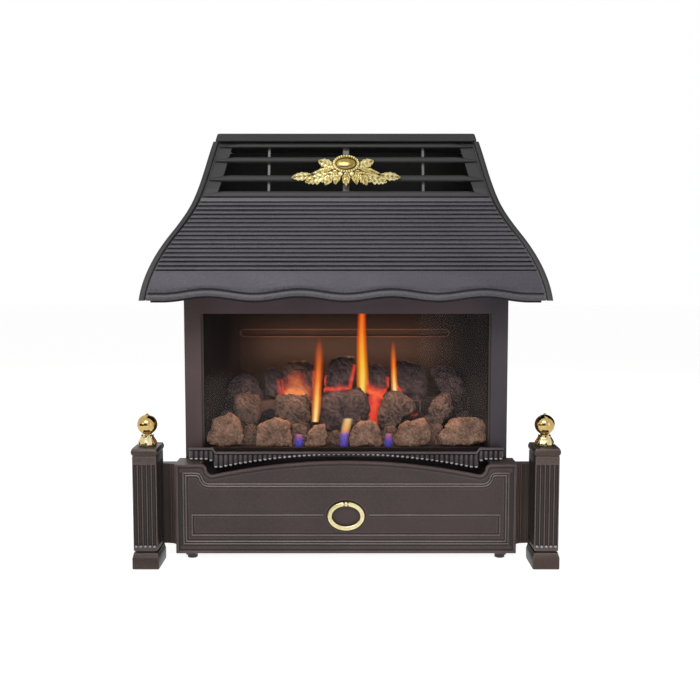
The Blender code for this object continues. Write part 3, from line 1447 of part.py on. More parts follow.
def make_ring():
    """An oval band that hangs from a pin in a brass boss on the panel."""
    pin_z, pin_y = ring_axis()
    count = 28
    open_half = math.asin((RING_BOSS_WIDTH / 2 + RING_BOSS_ROOM) / RING_HALF)
    rings = []
    for i in range(count + 1):
        turn = math.pi / 2 + open_half + (2 * math.pi - 2 * open_half) * i / count
        centre = Vector(
            (
                (RING_HALF - RING_BAND / 2) * math.cos(turn),
                (RING_RISE - RING_BAND / 2) * math.sin(turn),
            )
        )
        outward = Vector((math.cos(turn) / RING_HALF, math.sin(turn) / RING_RISE)).normalized()
        ring = []
        for a, b in oval((0, 0), RING_BAND / 2, RING_THICK / 2, 8):
            place = centre + outward * a
            ring.append((place.x, pin_y + b, RING_HEIGHT + place.y))
        rings.append(ring)
    band = new_object("ring_pull", loft(rings))
    reach = RING_BOSS_WIDTH / 2 + RING_PIN_END
    pin = rod((pin_y, pin_z), RING_PIN_RADIUS, -reach, reach, "X", 12)
    boolean(band, [pin], "UNION")
    finished(band, "brass", 50)
    put_origin(band, (0, pin_y, pin_z))

    half = RING_BOSS_WIDTH / 2
    seat = at(FRET_FRONT) + FRET_RELIEF + JOIN - GAP
    low = pin_z - RING_BOSS_HEIGHT / 2
    front = pin_y - RING_PIN_RADIUS - RING_BOSS_NOSE
    boss = new_object("ring_boss", block((-half, half), (front, seat), (low, low + RING_BOSS_HEIGHT)))
    bore = rod((pin_y, pin_z), RING_PIN_RADIUS + RING_PIN_GAP, -half - JOIN, half + JOIN, "X", 12)
    finished(boolean(boss, [bore], "DIFFERENCE"), "brass")


def make_wing(name, side):
    """The casting that ties a post to the case, with the ledge that the grate stands on."""
    post_inner = WIDTH / 2 - PLINTH_WIDTH
    rear_of_post = at((PLINTH_DEPTH + SHAFT_DEPTH) / 2) + SEAT
    fret_edge = FRET_HALF + GAP
    front = at(FRET_FRONT) + FRET_RELIEF
    back = at(WING_BACK)
    outer = WIDTH / 2 - WING_MARGIN
    tie = post_inner + JOIN
    plan = [(outer, rear_of_post), (tie, rear_of_post)]
    steps = 6
    for i in range(steps + 1):
        turn = math.pi / 2 * i / steps
        x = tie + (fret_edge - tie) * math.sin(turn)
        plan.append((x, front + WING_COVE * (math.cos(turn))))
    plan += [(fret_edge, back), (outer, back)]
    plan = [(side * x, y) for x, y in plan]
    wing = new_object(name, prism(plan, WING_BOTTOM, FRET_CORNER, "Z"))
    ledge_front = at(FRET_FRONT) + FRET_RELIEF + FRET_THICK + GAP
    x = sorted((side * FRET_SHOULDER, side * (fret_edge + JOIN)))
    y = (ledge_front, at(SURROUND_FRONT) - GAP)
    ledge = block(x, y, (FRET_CORNER - LEDGE_THICK, FRET_CORNER))
    boolean(wing, [ledge], "UNION")
    finished(wing, "fret")


def make_grate():
    """A cast front with upright ribs: its top edge steps up at the ends, its bottom edge arches."""
    front = at(GRATE_FRONT)
    rear = front + GRATE_THICK
    stub = FRET_CORNER + GAP
    count = round(2 * GRATE_HALF / GRATE_PITCH)
    pitch = 2 * GRATE_HALF / count

    def top(x):
        if abs(x) >= GRATE_STEP:
            return GRATE_END_TOP
        ramp = min((GRATE_STEP - abs(x)) / GRATE_RAMP, 1)
        return GRATE_END_TOP + (GRATE_TOP - GRATE_END_TOP) * ramp

    def bottom(x):
        if abs(x) >= GRATE_STUB:
            return stub
        if abs(x) >= GRATE_TOE:
            t = (GRATE_STUB - abs(x)) / (GRATE_STUB - GRATE_TOE)
            return stub + (GRATE_DIP - stub) * t
        return GRATE_CROWN + (GRATE_DIP - GRATE_CROWN) * (x / GRATE_TOE) ** 2

    rings = []
    for i in range(count):
        for share, depth in ((0, 1), (0.25, 0.2), (0.75, 0.2)):
            x = -GRATE_HALF + (i + share) * pitch
            rings.append((x, depth * GRATE_RIB))
    rings.append((GRATE_HALF, GRATE_RIB))
    skins = []
    for x, depth in rings:
        low, high = bottom(x), top(x)
        under = high - GRATE_BORDER
        skins.append(
            [
                (x, rear, low),
                (x, front + depth, low),
                (x, front + depth, under),
                (x, front - JOIN, under),
                (x, front - JOIN, high),
                (x, rear, high),
            ]
        )
    finished(new_object("grate", loft(skins)), "fret", 25)


def build():
    make_hood_panel()
    make_grille()
    make_grille_comb()
    make_hood_cheek("hood_left_cheek", -1)
    make_hood_cheek("hood_right_cheek", 1)
    make_hood_top()
    make_badge()
    make_case()
    make_firebox()
    make_spigot()
    make_window()
    make_burner()
    make_bed()
    make_coals()
    make_controls()
    make_pilot()
    make_fret()
    make_ring()
    make_grate()
    for name, side in (("left", -1), ("right", 1)):
        make_post(f"post_{name}", side)
        make_cap(f"post_cap_{name}", side)
        make_finial(name, side)
        make_wing(f"wing_{name}", side)


build()
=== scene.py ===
import math

import bmesh
import bpy
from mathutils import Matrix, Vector, noise


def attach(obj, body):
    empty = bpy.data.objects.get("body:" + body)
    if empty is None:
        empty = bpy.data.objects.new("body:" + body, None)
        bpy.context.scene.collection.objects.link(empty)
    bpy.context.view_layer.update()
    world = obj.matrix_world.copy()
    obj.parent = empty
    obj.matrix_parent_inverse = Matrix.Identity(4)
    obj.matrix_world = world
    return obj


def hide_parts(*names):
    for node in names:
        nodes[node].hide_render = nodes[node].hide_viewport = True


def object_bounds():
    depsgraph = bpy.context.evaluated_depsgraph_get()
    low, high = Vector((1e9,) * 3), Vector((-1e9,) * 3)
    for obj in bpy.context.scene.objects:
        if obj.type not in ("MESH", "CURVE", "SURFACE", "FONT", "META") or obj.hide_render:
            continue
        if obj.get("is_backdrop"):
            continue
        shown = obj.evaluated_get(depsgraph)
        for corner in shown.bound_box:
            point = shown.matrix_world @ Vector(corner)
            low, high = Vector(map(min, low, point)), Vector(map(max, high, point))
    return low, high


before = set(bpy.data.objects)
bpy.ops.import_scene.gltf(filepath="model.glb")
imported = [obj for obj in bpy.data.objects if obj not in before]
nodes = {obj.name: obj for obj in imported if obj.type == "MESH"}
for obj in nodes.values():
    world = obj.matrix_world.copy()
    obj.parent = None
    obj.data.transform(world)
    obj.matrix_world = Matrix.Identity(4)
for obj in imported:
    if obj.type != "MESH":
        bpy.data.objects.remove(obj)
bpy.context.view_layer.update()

# Studio: a plain pale floor under a white surround, a broad soft lamp above the camera, weaker
# ones at the sides, and dark cards that only reflections show. The camera stands where the
# photograph was taken from.


def put(name, data):
    """A new object in the scene."""
    obj = bpy.data.objects.new(name, data)
    bpy.context.collection.objects.link(obj)
    return obj


def aim(obj, place, target):
    """Stands a lamp or a card at a place, turned to face a target."""
    obj.location = place
    obj.rotation_euler = (Vector(target) - Vector(place)).to_track_quat("-Z", "Y").to_euler()


def soft_lamp(name, place, target, width, height, power, colour=(1, 1, 1)):
    """A broad lamp, with its sizes in metres and its power in watts."""
    lamp = put(name, bpy.data.lights.new(name, "AREA"))
    lamp.data.shape = "RECTANGLE"
    lamp.data.size = width
    lamp.data.size_y = height
    lamp.data.energy = power
    lamp.data.color = colour
    aim(lamp, place, target)
    return lamp


def new_paint(name):
    """A new material, its node tree and its shader."""
    material = bpy.data.materials.new(name)
    material.use_nodes = True
    return material, material.node_tree, material.node_tree.nodes["Principled BSDF"]


def rectangle(name, width, height, paint):
    """A level rectangle, for what stands round the fire."""
    x, y = width / 2, height / 2
    mesh = bpy.data.meshes.new(name)
    mesh.from_pydata([(-x, -y, 0), (x, -y, 0), (x, y, 0), (-x, y, 0)], [], [(0, 1, 2, 3)])
    mesh.materials.append(paint)
    return put(name, mesh)


def dark_card(name, place, target, width, height):
    """A black card seen only in reflections, so that polished metal has something dark to show."""
    paint, _, shader = new_paint(name)
    shader.inputs["Base Color"].default_value = (0.012, 0.01, 0.009, 1)
    shader.inputs["Specular IOR Level"].default_value = 0
    card = rectangle(name, width, height, paint)
    aim(card, place, target)
    card.visible_camera = False
    card.visible_diffuse = False
    card.visible_shadow = False
    card.visible_transmission = False
    card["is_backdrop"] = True


def add(tree, kind, feeds, **settings):
    """A new node. Each feed is a value or another node's output, under its input's name."""
    made = tree.nodes.new(kind)
    for name, value in settings.items():
        setattr(made, name, value)
    for socket, value in feeds.items():
        if isinstance(value, bpy.types.NodeSocket):
            tree.links.new(value, made.inputs[socket])
        else:
            made.inputs[socket].default_value = value
    return made


def maths(tree, operation, *feeds):
    """The output of a math node."""
    return add(tree, "ShaderNodeMath", dict(enumerate(feeds)), operation=operation).outputs[0]


def white_when_seen(tree, lit, extra):
    """A strength of its first value for light, with the second added for what is looked at."""
    ray = add(tree, "ShaderNodeLightPath", {}).outputs
    mirrored = maths(tree, "MAXIMUM", ray["Is Glossy Ray"], ray["Is Transmission Ray"])
    return maths(tree, "MULTIPLY_ADD", maths(tree, "MAXIMUM", ray["Is Camera Ray"], mirrored), extra, lit)


camera = put("camera", bpy.data.cameras.new("camera"))
camera.data.sensor_width = 36
camera.data.lens = 51.75
camera.location = (0.006, -1.595, 0.452)
camera.rotation_euler = (math.radians(85), 0, 0)
bpy.context.scene.camera = camera
bpy.context.scene.view_settings.view_transform = "Standard"
soft_lamp("lamp_above", (-0.35, -1.7, 1.55), (0, 0, 0.3), 1.1, 0.7, 21, (1.0, 0.99, 1.0))
lamp_low = soft_lamp("lamp_low", (0.1, -2.1, 0.3), (0, 0, 0.28), 0.8, 0.3, 7.0, (1.0, 0.97, 0.97))
lamp_low.visible_glossy = False
soft_lamp("lamp_left", (-1.5, -1.6, 0.6), (0, 0, 0.25), 0.6, 1.0, 3.5, (1.0, 0.97, 0.95))
soft_lamp("lamp_right", (1.6, -1.7, 0.6), (0, 0, 0.25), 0.6, 1.0, 2.0, (0.97, 0.98, 1.0))
soft_lamp("lamp_behind", (0.4, 1.9, 1.6), (0, 0, 0.4), 1.4, 1.0, 8)
dark_card("card_front", (-0.9, -2.3, 0.34), (0, 0, 0.25), 2.6, 1.05)
dark_card("card_left", (-1.5, -0.9, 0.04), (-0.29, -0.11, 0.44), 1.5, 0.85)
dark_card("card_right", (1.1, 1.2, 1.15), (0, -0.1, 0.25), 2.6, 2.6)

surround = bpy.data.worlds.new("surround")
surround.use_nodes = True
bpy.context.scene.world = surround
backdrop = surround.node_tree.nodes["Background"]
backdrop.inputs["Color"].default_value = (1, 1, 1, 1)
seen_white = white_when_seen(surround.node_tree, 0.06, 0.94)
surround.node_tree.links.new(seen_white, backdrop.inputs["Strength"])

floor_paint, tree, shader = new_paint("floor_paint")
shader.inputs["Base Color"].default_value = (0.55, 0.55, 0.54, 1)
shader.inputs["Roughness"].default_value = 0.9
shader.inputs["Specular IOR Level"].default_value = 0.1
shader.inputs["Emission Color"].default_value = (1, 1, 1, 1)
tree.links.new(white_when_seen(tree, 0, 0.91), shader.inputs["Emission Strength"])
floor = rectangle("floor", 18, 18, floor_paint)
floor.location = (0, 0, -0.0004)
floor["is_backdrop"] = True

# Case: folded sheet steel, sprayed satin black. The back sheet closes the canopy and the
# firebox, with pressed beads that stiffen it, a folded top edge and a row of screws each side.


def ranged(tree, source, low, high, to_low=0, to_high=1):
    """A value carried over from one range to another."""
    feeds = {"Value": source, "From Min": low, "From Max": high, "To Min": to_low, "To Max": to_high}
    return add(tree, "ShaderNodeMapRange", feeds).outputs["Result"]


def ramp(tree, source, stops):
    """A colour ramp over a value, from its stops of (place, colour)."""
    made = add(tree, "ShaderNodeValToRGB", {0: source})
    elements = made.color_ramp.elements
    for spot, (place, colour) in enumerate(stops):
        stop = elements[spot] if spot < 2 else elements.new(place)
        stop.position = place
        stop.color = (*colour, 1)
    return made.outputs["Color"]


def scaled(tree, colour, factor):
    """A colour times a factor."""
    return add(tree, "ShaderNodeVectorMath", {0: colour, "Scale": factor}, operation="SCALE").outputs[0]


def mottle(tree, place, scale, detail=2):
    """A noise over an object's own places."""
    feeds = {"Vector": place, "Scale": scale, "Detail": detail}
    return add(tree, "ShaderNodeTexNoise", feeds).outputs["Fac"]


def opened(material):
    """What a further step needs of a finish: its tree, shader, object places and colour."""
    tree = material.node_tree
    shader = tree.nodes["Principled BSDF"]
    place = next(node for node in tree.nodes if node.type == "TEX_COORD").outputs["Object"]
    return tree, shader, place, shader.inputs["Base Color"].links[0].from_socket


def paint_shade_and_highlight(material, reach, dark, bright):
    """Paints shade into corners and a highlight along edges: the colour darkens where the surface is hemmed
    in and lifts where it turns.
    """
    tree, shader, _, colour = opened(material)
    for inside, distance, amount in ((False, reach, dark), (True, reach * 0.5, bright)):
        near = add(tree, "ShaderNodeAmbientOcclusion", {"Distance": distance}, inside=inside,
                   only_local=True, samples=4)
        colour = scaled(tree, colour, ranged(tree, near.outputs["AO"], 0.35, 0.95, amount, 1))
    tree.links.new(colour, shader.inputs["Base Color"])


def finish(name, dark, light, grain, depth, rough, metal=0.0, tone=9.0, painted_shading=None, speckle=0.45):
    """A paint, metal or board: two shades in a fine grain and broad clouds, with a bump."""
    material, tree, shader = new_paint(name)
    place = add(tree, "ShaderNodeTexCoord", {}).outputs["Object"]
    fine, broad = mottle(tree, place, 1 / grain, 3), mottle(tree, place, tone, 4)
    mixed = maths(tree, "MULTIPLY_ADD", fine, speckle, maths(tree, "MULTIPLY", broad, 0.55))
    middle = 0.275 + speckle / 2
    shades = ramp(tree, mixed, ((middle - 0.14, dark), (middle + 0.14, light)))
    gloss = ranged(tree, mixed, middle - 0.2, middle + 0.2, rough * 0.85, min(rough * 1.15, 1))
    bump = add(tree, "ShaderNodeBump", {"Strength": 1, "Distance": depth, "Height": fine})
    tree.links.new(shades, shader.inputs["Base Color"])
    tree.links.new(gloss, shader.inputs["Roughness"])
    tree.links.new(bump.outputs["Normal"], shader.inputs["Normal"])
    shader.inputs["Metallic"].default_value = metal
    # Painted shade in corners and a painted highlight along edges, when asked for.
    if painted_shading:
        paint_shade_and_highlight(material, *painted_shading)
    return material


def skin(rings, closed=False):
    """A closed skin over rings of as many points each. Open ends get one face."""
    shape = bmesh.new()
    rows = [[shape.verts.new(point) for point in ring] for ring in rings]
    pairs = list(zip(rows, rows[1:]))
    if closed:
        pairs.append((rows[-1], rows[0]))
    for low, high in pairs:
        for i in range(len(low)):
            j = (i + 1) % len(low)
            shape.faces.new((low[i], low[j], high[j], high[i]))
    if not closed:
        shape.faces.new(rows[0])
        shape.faces.new(rows[-1])
    return shape


def slab(x, y, z):
    """A plain block from its (low, high) pairs, for cutters and for joining into a piece."""
    corners = [(x[0], y[0]), (x[1], y[0]), (x[1], y[1]), (x[0], y[1])]
    return skin([[(a, b, c) for a, b in corners] for c in z])


def together(shapes):
    """One bmesh that holds several closed shapes."""
    whole = bmesh.new()
    for shape in shapes:
        bmesh.ops.recalc_face_normals(shape, faces=shape.faces)
        mesh = bpy.data.meshes.new("part")
        shape.to_mesh(mesh)
        shape.free()
        whole.from_mesh(mesh)
        bpy.data.meshes.remove(mesh)
    return whole


def bare(name, shape):
    """An object from a bmesh, faces outwards, that isn't yet a piece of the fire."""
    bmesh.ops.remove_doubles(shape, verts=shape.verts, dist=1e-6)
    bmesh.ops.recalc_face_normals(shape, faces=shape.faces)
    mesh = bpy.data.meshes.new(name)
    shape.to_mesh(mesh)
    shape.free()
    return put(name, mesh)


def fitted(obj, material, body="fire", node=None, sharp=32):
    """Finishes a piece: its paint, its smooth faces, the body it rides on, its CAD node."""
    obj.data.materials.clear()
    obj.data.materials.append(material)
    for face in obj.data.polygons:
        face.material_index = 0
    obj.data.shade_smooth()
    obj.data.set_sharp_from_angle(angle=math.radians(sharp))
    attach(obj, body)
    if node:
        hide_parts(node)
    return obj


def painted(paint, *names):
    """Gives its paint to each solid that is shown as it is."""
    for name in names:
        nodes[name].data.materials.clear()
        nodes[name].data.materials.append(paint)


def settled(obj):
    """Keeps what an object's modifiers make of it as its plain mesh."""
    graph = bpy.context.evaluated_depsgraph_get()
    graph.update()
    result = bpy.data.meshes.new_from_object(obj.evaluated_get(graph))
    obj.modifiers.clear()
    obj.data = result


def carve(obj, tools, operation="DIFFERENCE"):
    """Cuts the shapes from an object, or joins them to it, and keeps the result."""
    cutters = [bare("tool", tool) for tool in tools]
    for cutter in cutters:
        step = obj.modifiers.new("Cut", "BOOLEAN")
        step.operation = operation
        step.solver = "EXACT"
        step.object = cutter
    settled(obj)
    for cutter in cutters:
        bpy.data.objects.remove(cutter, do_unlink=True)


def angles(sides):
    """Even turns round a circle."""
    return [2 * math.pi * i / sides for i in range(sides)]


def oval(cx, cy, rx, ry, sides=40):
    """An oval's outline, as pairs."""
    return [(cx + rx * math.cos(t), cy + ry * math.sin(t)) for t in angles(sides)]


def stadium(x0, x1, cz, radius, sides=12):
    """A long slot's outline, with round ends."""
    right = [(x1 + radius * math.cos(t), cz + radius * math.sin(t))
             for t in (math.pi * (i / sides - 0.5) for i in range(sides + 1))]
    return right + [(x0 + x1 - x, 2 * cz - z) for x, z in right]


def placed(outline, axis, value):
    """A flat outline's points at one value of the axis that it faces along."""
    spot = "XYZ".index(axis)
    return [(*point[:spot], value, *point[spot:]) for point in outline]


def plate(outline, y0, y1):
    """A flat piece of this outline between two values of Y."""
    return skin([placed(outline, "Y", y) for y in (y0, y1)])


def canopy_half(z):
    """Half width of the canopy at a height."""
    knots = ((0.396, 0.3004, -0.13), (0.49406, 0.2588, -0.7), (0.54594, 0.2287, -0.4), (0.634, 0.2016, -0.32))
    z = min(max(z, knots[0][0]), knots[-1][0])
    for (z0, w0, m0), (z1, w1, m1) in zip(knots, knots[1:]):
        if z <= z1:
            span = z1 - z0
            t = (z - z0) / span
            ends = (2 * t**3 - 3 * t**2 + 1) * w0 + (3 * t**2 - 2 * t**3) * w1
            return ends + (t**3 - 2 * t**2 + t) * span * m0 + (t**3 - t**2) * span * m1
    return knots[-1][1]


def canopy_front(z):
    """Y of the canopy's front face at a height."""
    return 0.007 + 0.94 * (0.3004 - canopy_half(z)) - 0.145


CASE_HALF, CASE_BACK = 0.2505, 0.119
CANOPY_FOOT, CANOPY_RISE = 0.396, 0.238
case_paint = finish("case_paint", (0.018, 0.017, 0.017), (0.034, 0.032, 0.031), 0.0016, 0.00009, 0.46)
edge = [(CASE_HALF, 0), (CASE_HALF, CANOPY_FOOT)]
for i in range(41):
    z = CANOPY_FOOT + CANOPY_RISE * i / 40
    edge.append((canopy_half(z), z))
back_sheet = bare("back_sheet", plate(edge + [(-x, z) for x, z in reversed(edge)], 0.1175, CASE_BACK))
cuts = [plate(oval(0, 0.44, 0.0523, 0.0523, 56), 0.1, 0.13),
        plate(oval(0.212, 0.062, 0.0045, 0.0045, 20), 0.1, 0.13)]
for height, reach in ((0.13, 0.2), (0.22, 0.2), (0.31, 0.2), (0.54, 0.17)):
    cuts.append(skin([placed(stadium(-reach, reach, height, radius), "Y", y)
                      for radius, y in ((0.0085, 0.1195), (0.0063, 0.119), (0.0041, 0.1181))]))
carve(back_sheet, cuts)
carve(back_sheet, [slab((-0.19, 0.19), (0.104, 0.118), (0.6322, 0.6337))], "UNION")
fitted(back_sheet, case_paint, node="case_back", sharp=20)
painted(case_paint, "case_left_side", "case_right_side", "case_floor")


def repeated(name, places, template, turn, material, node=None, spread=0.0):
    """Copies of one small shape at each place, as one plain mesh, through a node tree."""
    tree = bpy.data.node_groups.new(f"{name}_row", "GeometryNodeTree")
    obj = put(name, bpy.data.meshes.new(name))
    obj.data.from_pydata(places, [], [])
    row = obj.modifiers.new("Row", "NODES")
    sockets = tree.interface
    sockets.new_socket("Places", in_out="INPUT", socket_type="NodeSocketGeometry")
    values = {}
    for label, kind, value in (("Template", "Object", template), ("Turn", "Vector", turn),
                               ("Finish", "Material", material), ("Size Spread", "Float", spread)):
        socket = sockets.new_socket(label, in_out="INPUT", socket_type=f"NodeSocket{kind}")
        values[socket.identifier] = value
    sockets.new_socket("Geometry", in_out="OUTPUT", socket_type="NodeSocketGeometry")
    given = add(tree, "NodeGroupInput", {}).outputs
    size = add(tree, "FunctionNodeRandomValue", {"Seed": 4})
    random = {socket.name: socket for socket in size.inputs if socket.type == "VALUE"}
    random["Max"].default_value = 1
    tree.links.new(maths(tree, "SUBTRACT", 1, given["Size Spread"]), random["Min"])
    source = add(tree, "GeometryNodeObjectInfo", {"Object": given["Template"]})
    copies = add(tree, "GeometryNodeInstanceOnPoints", {
        "Points": given["Places"], "Instance": source.outputs["Geometry"], "Rotation": given["Turn"],
        "Scale": next(socket for socket in size.outputs if socket.type == "VALUE")})
    real = add(tree, "GeometryNodeRealizeInstances", {"Geometry": copies.outputs["Instances"]})
    coated = add(tree, "GeometryNodeSetMaterial", {"Geometry": real.outputs["Geometry"],
                                                   "Material": given["Finish"]})
    add(tree, "NodeGroupOutput", {"Geometry": coated.outputs["Geometry"]})
    row.node_group = tree
    for identifier, value in values.items():
        row[identifier] = value
    settled(obj)
    fitted(obj, material, node=node)


def turned(profile, sides):
    """A profile of (radius, height) spun about Z. A radius of 0 closes to a point."""
    shape = bmesh.new()
    rows = []
    for radius, height in profile:
        around = angles(sides) if radius else [0]
        rows.append([shape.verts.new((radius * math.cos(t), radius * math.sin(t), height)) for t in around])
    for low, high in zip(rows, rows[1:]):
        for i in range(sides):
            j = (i + 1) % sides
            corners = [low[i % len(low)], low[j % len(low)], high[j % len(high)], high[i % len(high)]]
            shape.faces.new(list(dict.fromkeys(corners)))
    for row in (rows[0], rows[-1]):
        if len(row) > 1:
            shape.faces.new(row)
    return shape


screw = bare("screw", turned([(0.0034, 0), (0.0034, 0.0007), (0.003, 0.0013), (0.002, 0.0017),
                              (0, 0.0018)], 16))
carve(screw, [slab((-0.0022, 0.0022), (-0.0004, 0.0004), (0.001, 0.003)),
              slab((-0.0004, 0.0004), (-0.0022, 0.0022), (0.001, 0.003))])
screw_metal = finish("screw_metal", (0.25, 0.24, 0.23), (0.42, 0.41, 0.4), 0.0009, 0.00003, 0.35, 1.0)
places = [(side * 0.241, CASE_BACK, 0.03 + 0.06 * i) for side in (-1, 1) for i in range(7)]
places += [(side * (canopy_half(z) - 0.012), CASE_BACK, z) for side in (-1, 1) for z in (0.45, 0.52, 0.59)]
places += [(x, CASE_BACK, 0.622) for x in (-0.15, -0.05, 0.05, 0.15)]
repeated("back_screws", places, screw, (-math.pi / 2, 0, 0), screw_metal)
for side, label in ((-1, "left"), (1, "right")):
    places = [(side * CASE_HALF, y, z) for y in (-0.022, 0.105) for z in (0.05, 0.15, 0.25, 0.35)]
    repeated(f"side_screws_{label}", places, screw, (0, side * math.pi / 2, 0), screw_metal)
bpy.data.objects.remove(screw, do_unlink=True)

# Firebox: ceramic fibre boards at the back and sides, tinted like soot-stained firebrick, the
# back one moulded with a long round groove, and a steel shelf, baffle and flue box round them.


def paint_light_along(material, axis, stops):
    """Scales a material's colour along an axis, to paint light and shade into it: lighter where light falls,
    darker where shade falls.
    """
    tree, shader, place, colour = opened(material)
    along = add(tree, "ShaderNodeSeparateXYZ", {0: place}).outputs[axis]
    first, last = stops[0][0], stops[-1][0]
    halves = []
    for spot, scale in stops:
        scales = scale if isinstance(scale, tuple) else (scale, scale, scale)
        halves.append(((spot - first) / (last - first), [value / 2 for value in scales]))
    factor = scaled(tree, ramp(tree, ranged(tree, along, first, last), halves), 2)
    product = add(tree, "ShaderNodeVectorMath", {0: colour, 1: factor}, operation="MULTIPLY")
    tree.links.new(product.outputs[0], shader.inputs["Base Color"])


def round_bar(axis, cx, cy, sides, levels):
    """A round bar along an axis, from its (place, radius) levels."""
    return skin([placed(oval(cx, cy, radius, radius, sides), axis, place) for place, radius in levels])


def groove_rings(section):
    """The long round groove's outline at each (Y, radius)."""
    return [placed(stadium(-0.1735, 0.1675, 0.3327, radius), "Y", y) for y, radius in section]


board = finish("board", (0.016, 0.009, 0.007), (0.05, 0.031, 0.024), 0.0012, 0.0003, 0.85)
sooty_board = finish("sooty_board", (0.006, 0.004, 0.004), (0.017, 0.012, 0.011), 0.0012, 0.0003, 0.8)
back_paint = finish("back_paint", (0.016, 0.009, 0.007), (0.05, 0.031, 0.024), 0.0012, 0.0003, 0.85)
# The back board darkens towards its top: painted shade under the baffle.
paint_light_along(back_paint, "Z", ((0.3, 1.02), (0.35, (0.66, 0.6, 0.64)), (0.385, (0.2, 0.15, 0.22))))
# The groove's lip is a lighter reddish paint: a painted highlight along the groove's edges.
groove_highlight = finish("groove_highlight", (0.13, 0.062, 0.038), (0.25, 0.135, 0.088), 0.0012, 0.0001, 0.6)
sheet_paint = finish("sheet_paint", (0.02, 0.018, 0.017), (0.045, 0.04, 0.037), 0.0014, 0.00008, 0.6)
bright_steel = finish("bright_steel", (0.33, 0.32, 0.31), (0.52, 0.51, 0.49), 0.0007, 0.00003, 0.33, 1.0)
back_board = bare("back_board", slab((-0.18, 0.18), (0.1002, 0.11), (0.1278, 0.3857)))
carve(back_board, [skin(groove_rings(((0.099, 0.0052), (0.1008, 0.005), (0.1022, 0.0042),
                                      (0.1032, 0.0026), (0.1035, 0.0006))))])
fitted(back_board, back_paint, node="firebox_back", sharp=50)
# A ring in the lighter paint round the groove's mouth, as a painted highlight.
groove_edge = groove_rings(((0.101, 0.005), (0.0996, 0.0054), (0.0993, 0.006), (0.0996, 0.0066),
                            (0.101, 0.007)))
fitted(bare("groove_lip", skin(groove_edge, closed=True)), groove_highlight, sharp=50)
# A thin ridge down each cheek's crease, in the lighter board colour on the darker cheeks: a painted highlight
# where the crease catches the light.
for side in (-1, 1):
    fold = round_bar("Z", side * 0.2157, 0, 16, ((0.234, 0.0003), (0.2345, 0.0009), (0.3705, 0.0009),
                                                 (0.371, 0.0003)))
    fitted(bare(f"cheek_fold_{side}", fold), board, sharp=50)
painted(sooty_board, "firebox_left_cheek", "firebox_right_cheek")
painted(sheet_paint, "firebox_shelf", "firebox_baffle", "flue_box")
painted(bright_steel, "flue_spigot")
soft_lamp("lamp_glow", (0.0, 0.058, 0.312), (0, 0.2, 0.29), 0.3, 0.02, 0.16, (1.0, 0.62, 0.42))
soft_lamp("lamp_embers", (0.0, -0.012, 0.262), (0, 0.05, 0.16), 0.36, 0.03, 0.16, (1.0, 0.62, 0.42))

# Burner and bed: a welded steel burner box under a stepped ceramic bed, with flame slots
# through it. Moulded lumps at its ends fill the corners beside the loose coals.
ash = finish("ash", (0.06, 0.036, 0.025), (0.28, 0.17, 0.12), 0.0022, 0.0006, 0.95)
# The bed's front below the front coals is painted much darker: painted shade under the coals.
paint_light_along(ash, "Z", ((0.159, 0.08), (0.164, 1.0)))
burner_steel = finish("burner_steel", (0.1, 0.09, 0.08), (0.24, 0.2, 0.17), 0.0012, 0.00006, 0.5, 1.0)
painted(burner_steel, "burner")
painted(ash, "fuel_bed")

# Coals: moulded ceramic fibre lumps, coloured by hand. The rear row stands on the top step,
# the middle row on the next and the front row on the lowest, with red heat between them.


def smooth_loop(points, count):
    """A closed curve through the points, as many points as asked for, evenly spaced."""
    fine = []
    size = len(points)
    for i in range(size):
        a, b, c, d = (Vector(points[(i + k) % size]) for k in (-1, 0, 1, 2))
        for step in range(12):
            t = step / 12
            fine.append(0.5 * (2 * b + (c - a) * t + (2 * a - 5 * b + 4 * c - d) * t * t
                               + (3 * b - a - 3 * c + d) * t**3))
    lengths = [0.0]
    for i, point in enumerate(fine):
        lengths.append(lengths[-1] + (fine[(i + 1) % len(fine)] - point).length)
    loop = []
    spot = 0
    for i in range(count):
        want = lengths[-1] * i / count
        while lengths[spot + 1] < want:
            spot += 1
        share = (want - lengths[spot]) / max(lengths[spot + 1] - lengths[spot], 1e-9)
        loop.append(fine[spot].lerp(fine[(spot + 1) % len(fine)], share))
    return loop


def coal_paint(name, dark, light, depth=0.0008, scratch=0.45, hottest=(1.0, 0.17, 0.03),
               red=(0.78, 0.035, 0.014)):
    """Fired ceramic: mottled, pitted and cracked, and glowing where the mesh is marked hot."""
    material = finish(name, dark, light, 0.0028, depth, 0.93, tone=55.0)
    tree, shader, place, colour = opened(material)
    hot = add(tree, "ShaderNodeAttribute", {}, attribute_name="ember").outputs["Fac"]
    uneven = maths(tree, "MULTIPLY_ADD", mottle(tree, place, 95, 5), 0.24, -0.12)
    heat = maths(tree, "MULTIPLY", maths(tree, "ADD", hot, uneven), ranged(tree, hot, 0, 0.25))
    steps = ((0.1, (0, 0, 0)), (0.36, (0.17, 0.008, 0.004)), (0.68, red), (1.0, hottest))
    tree.links.new(ramp(tree, heat, steps), shader.inputs["Emission Color"])
    shader.inputs["Emission Strength"].default_value = 1.15
    feeds = {"Vector": place, "Scale": 42, "Distortion": 14, "Detail": 5, "Detail Scale": 1.6}
    strata = add(tree, "ShaderNodeTexWave", feeds, bands_direction="DIAGONAL").outputs["Fac"]
    cracked = scaled(tree, colour, ranged(tree, strata, 0.02, 0.42, scratch, 1))
    tree.links.new(cracked, shader.inputs["Base Color"])
    return material


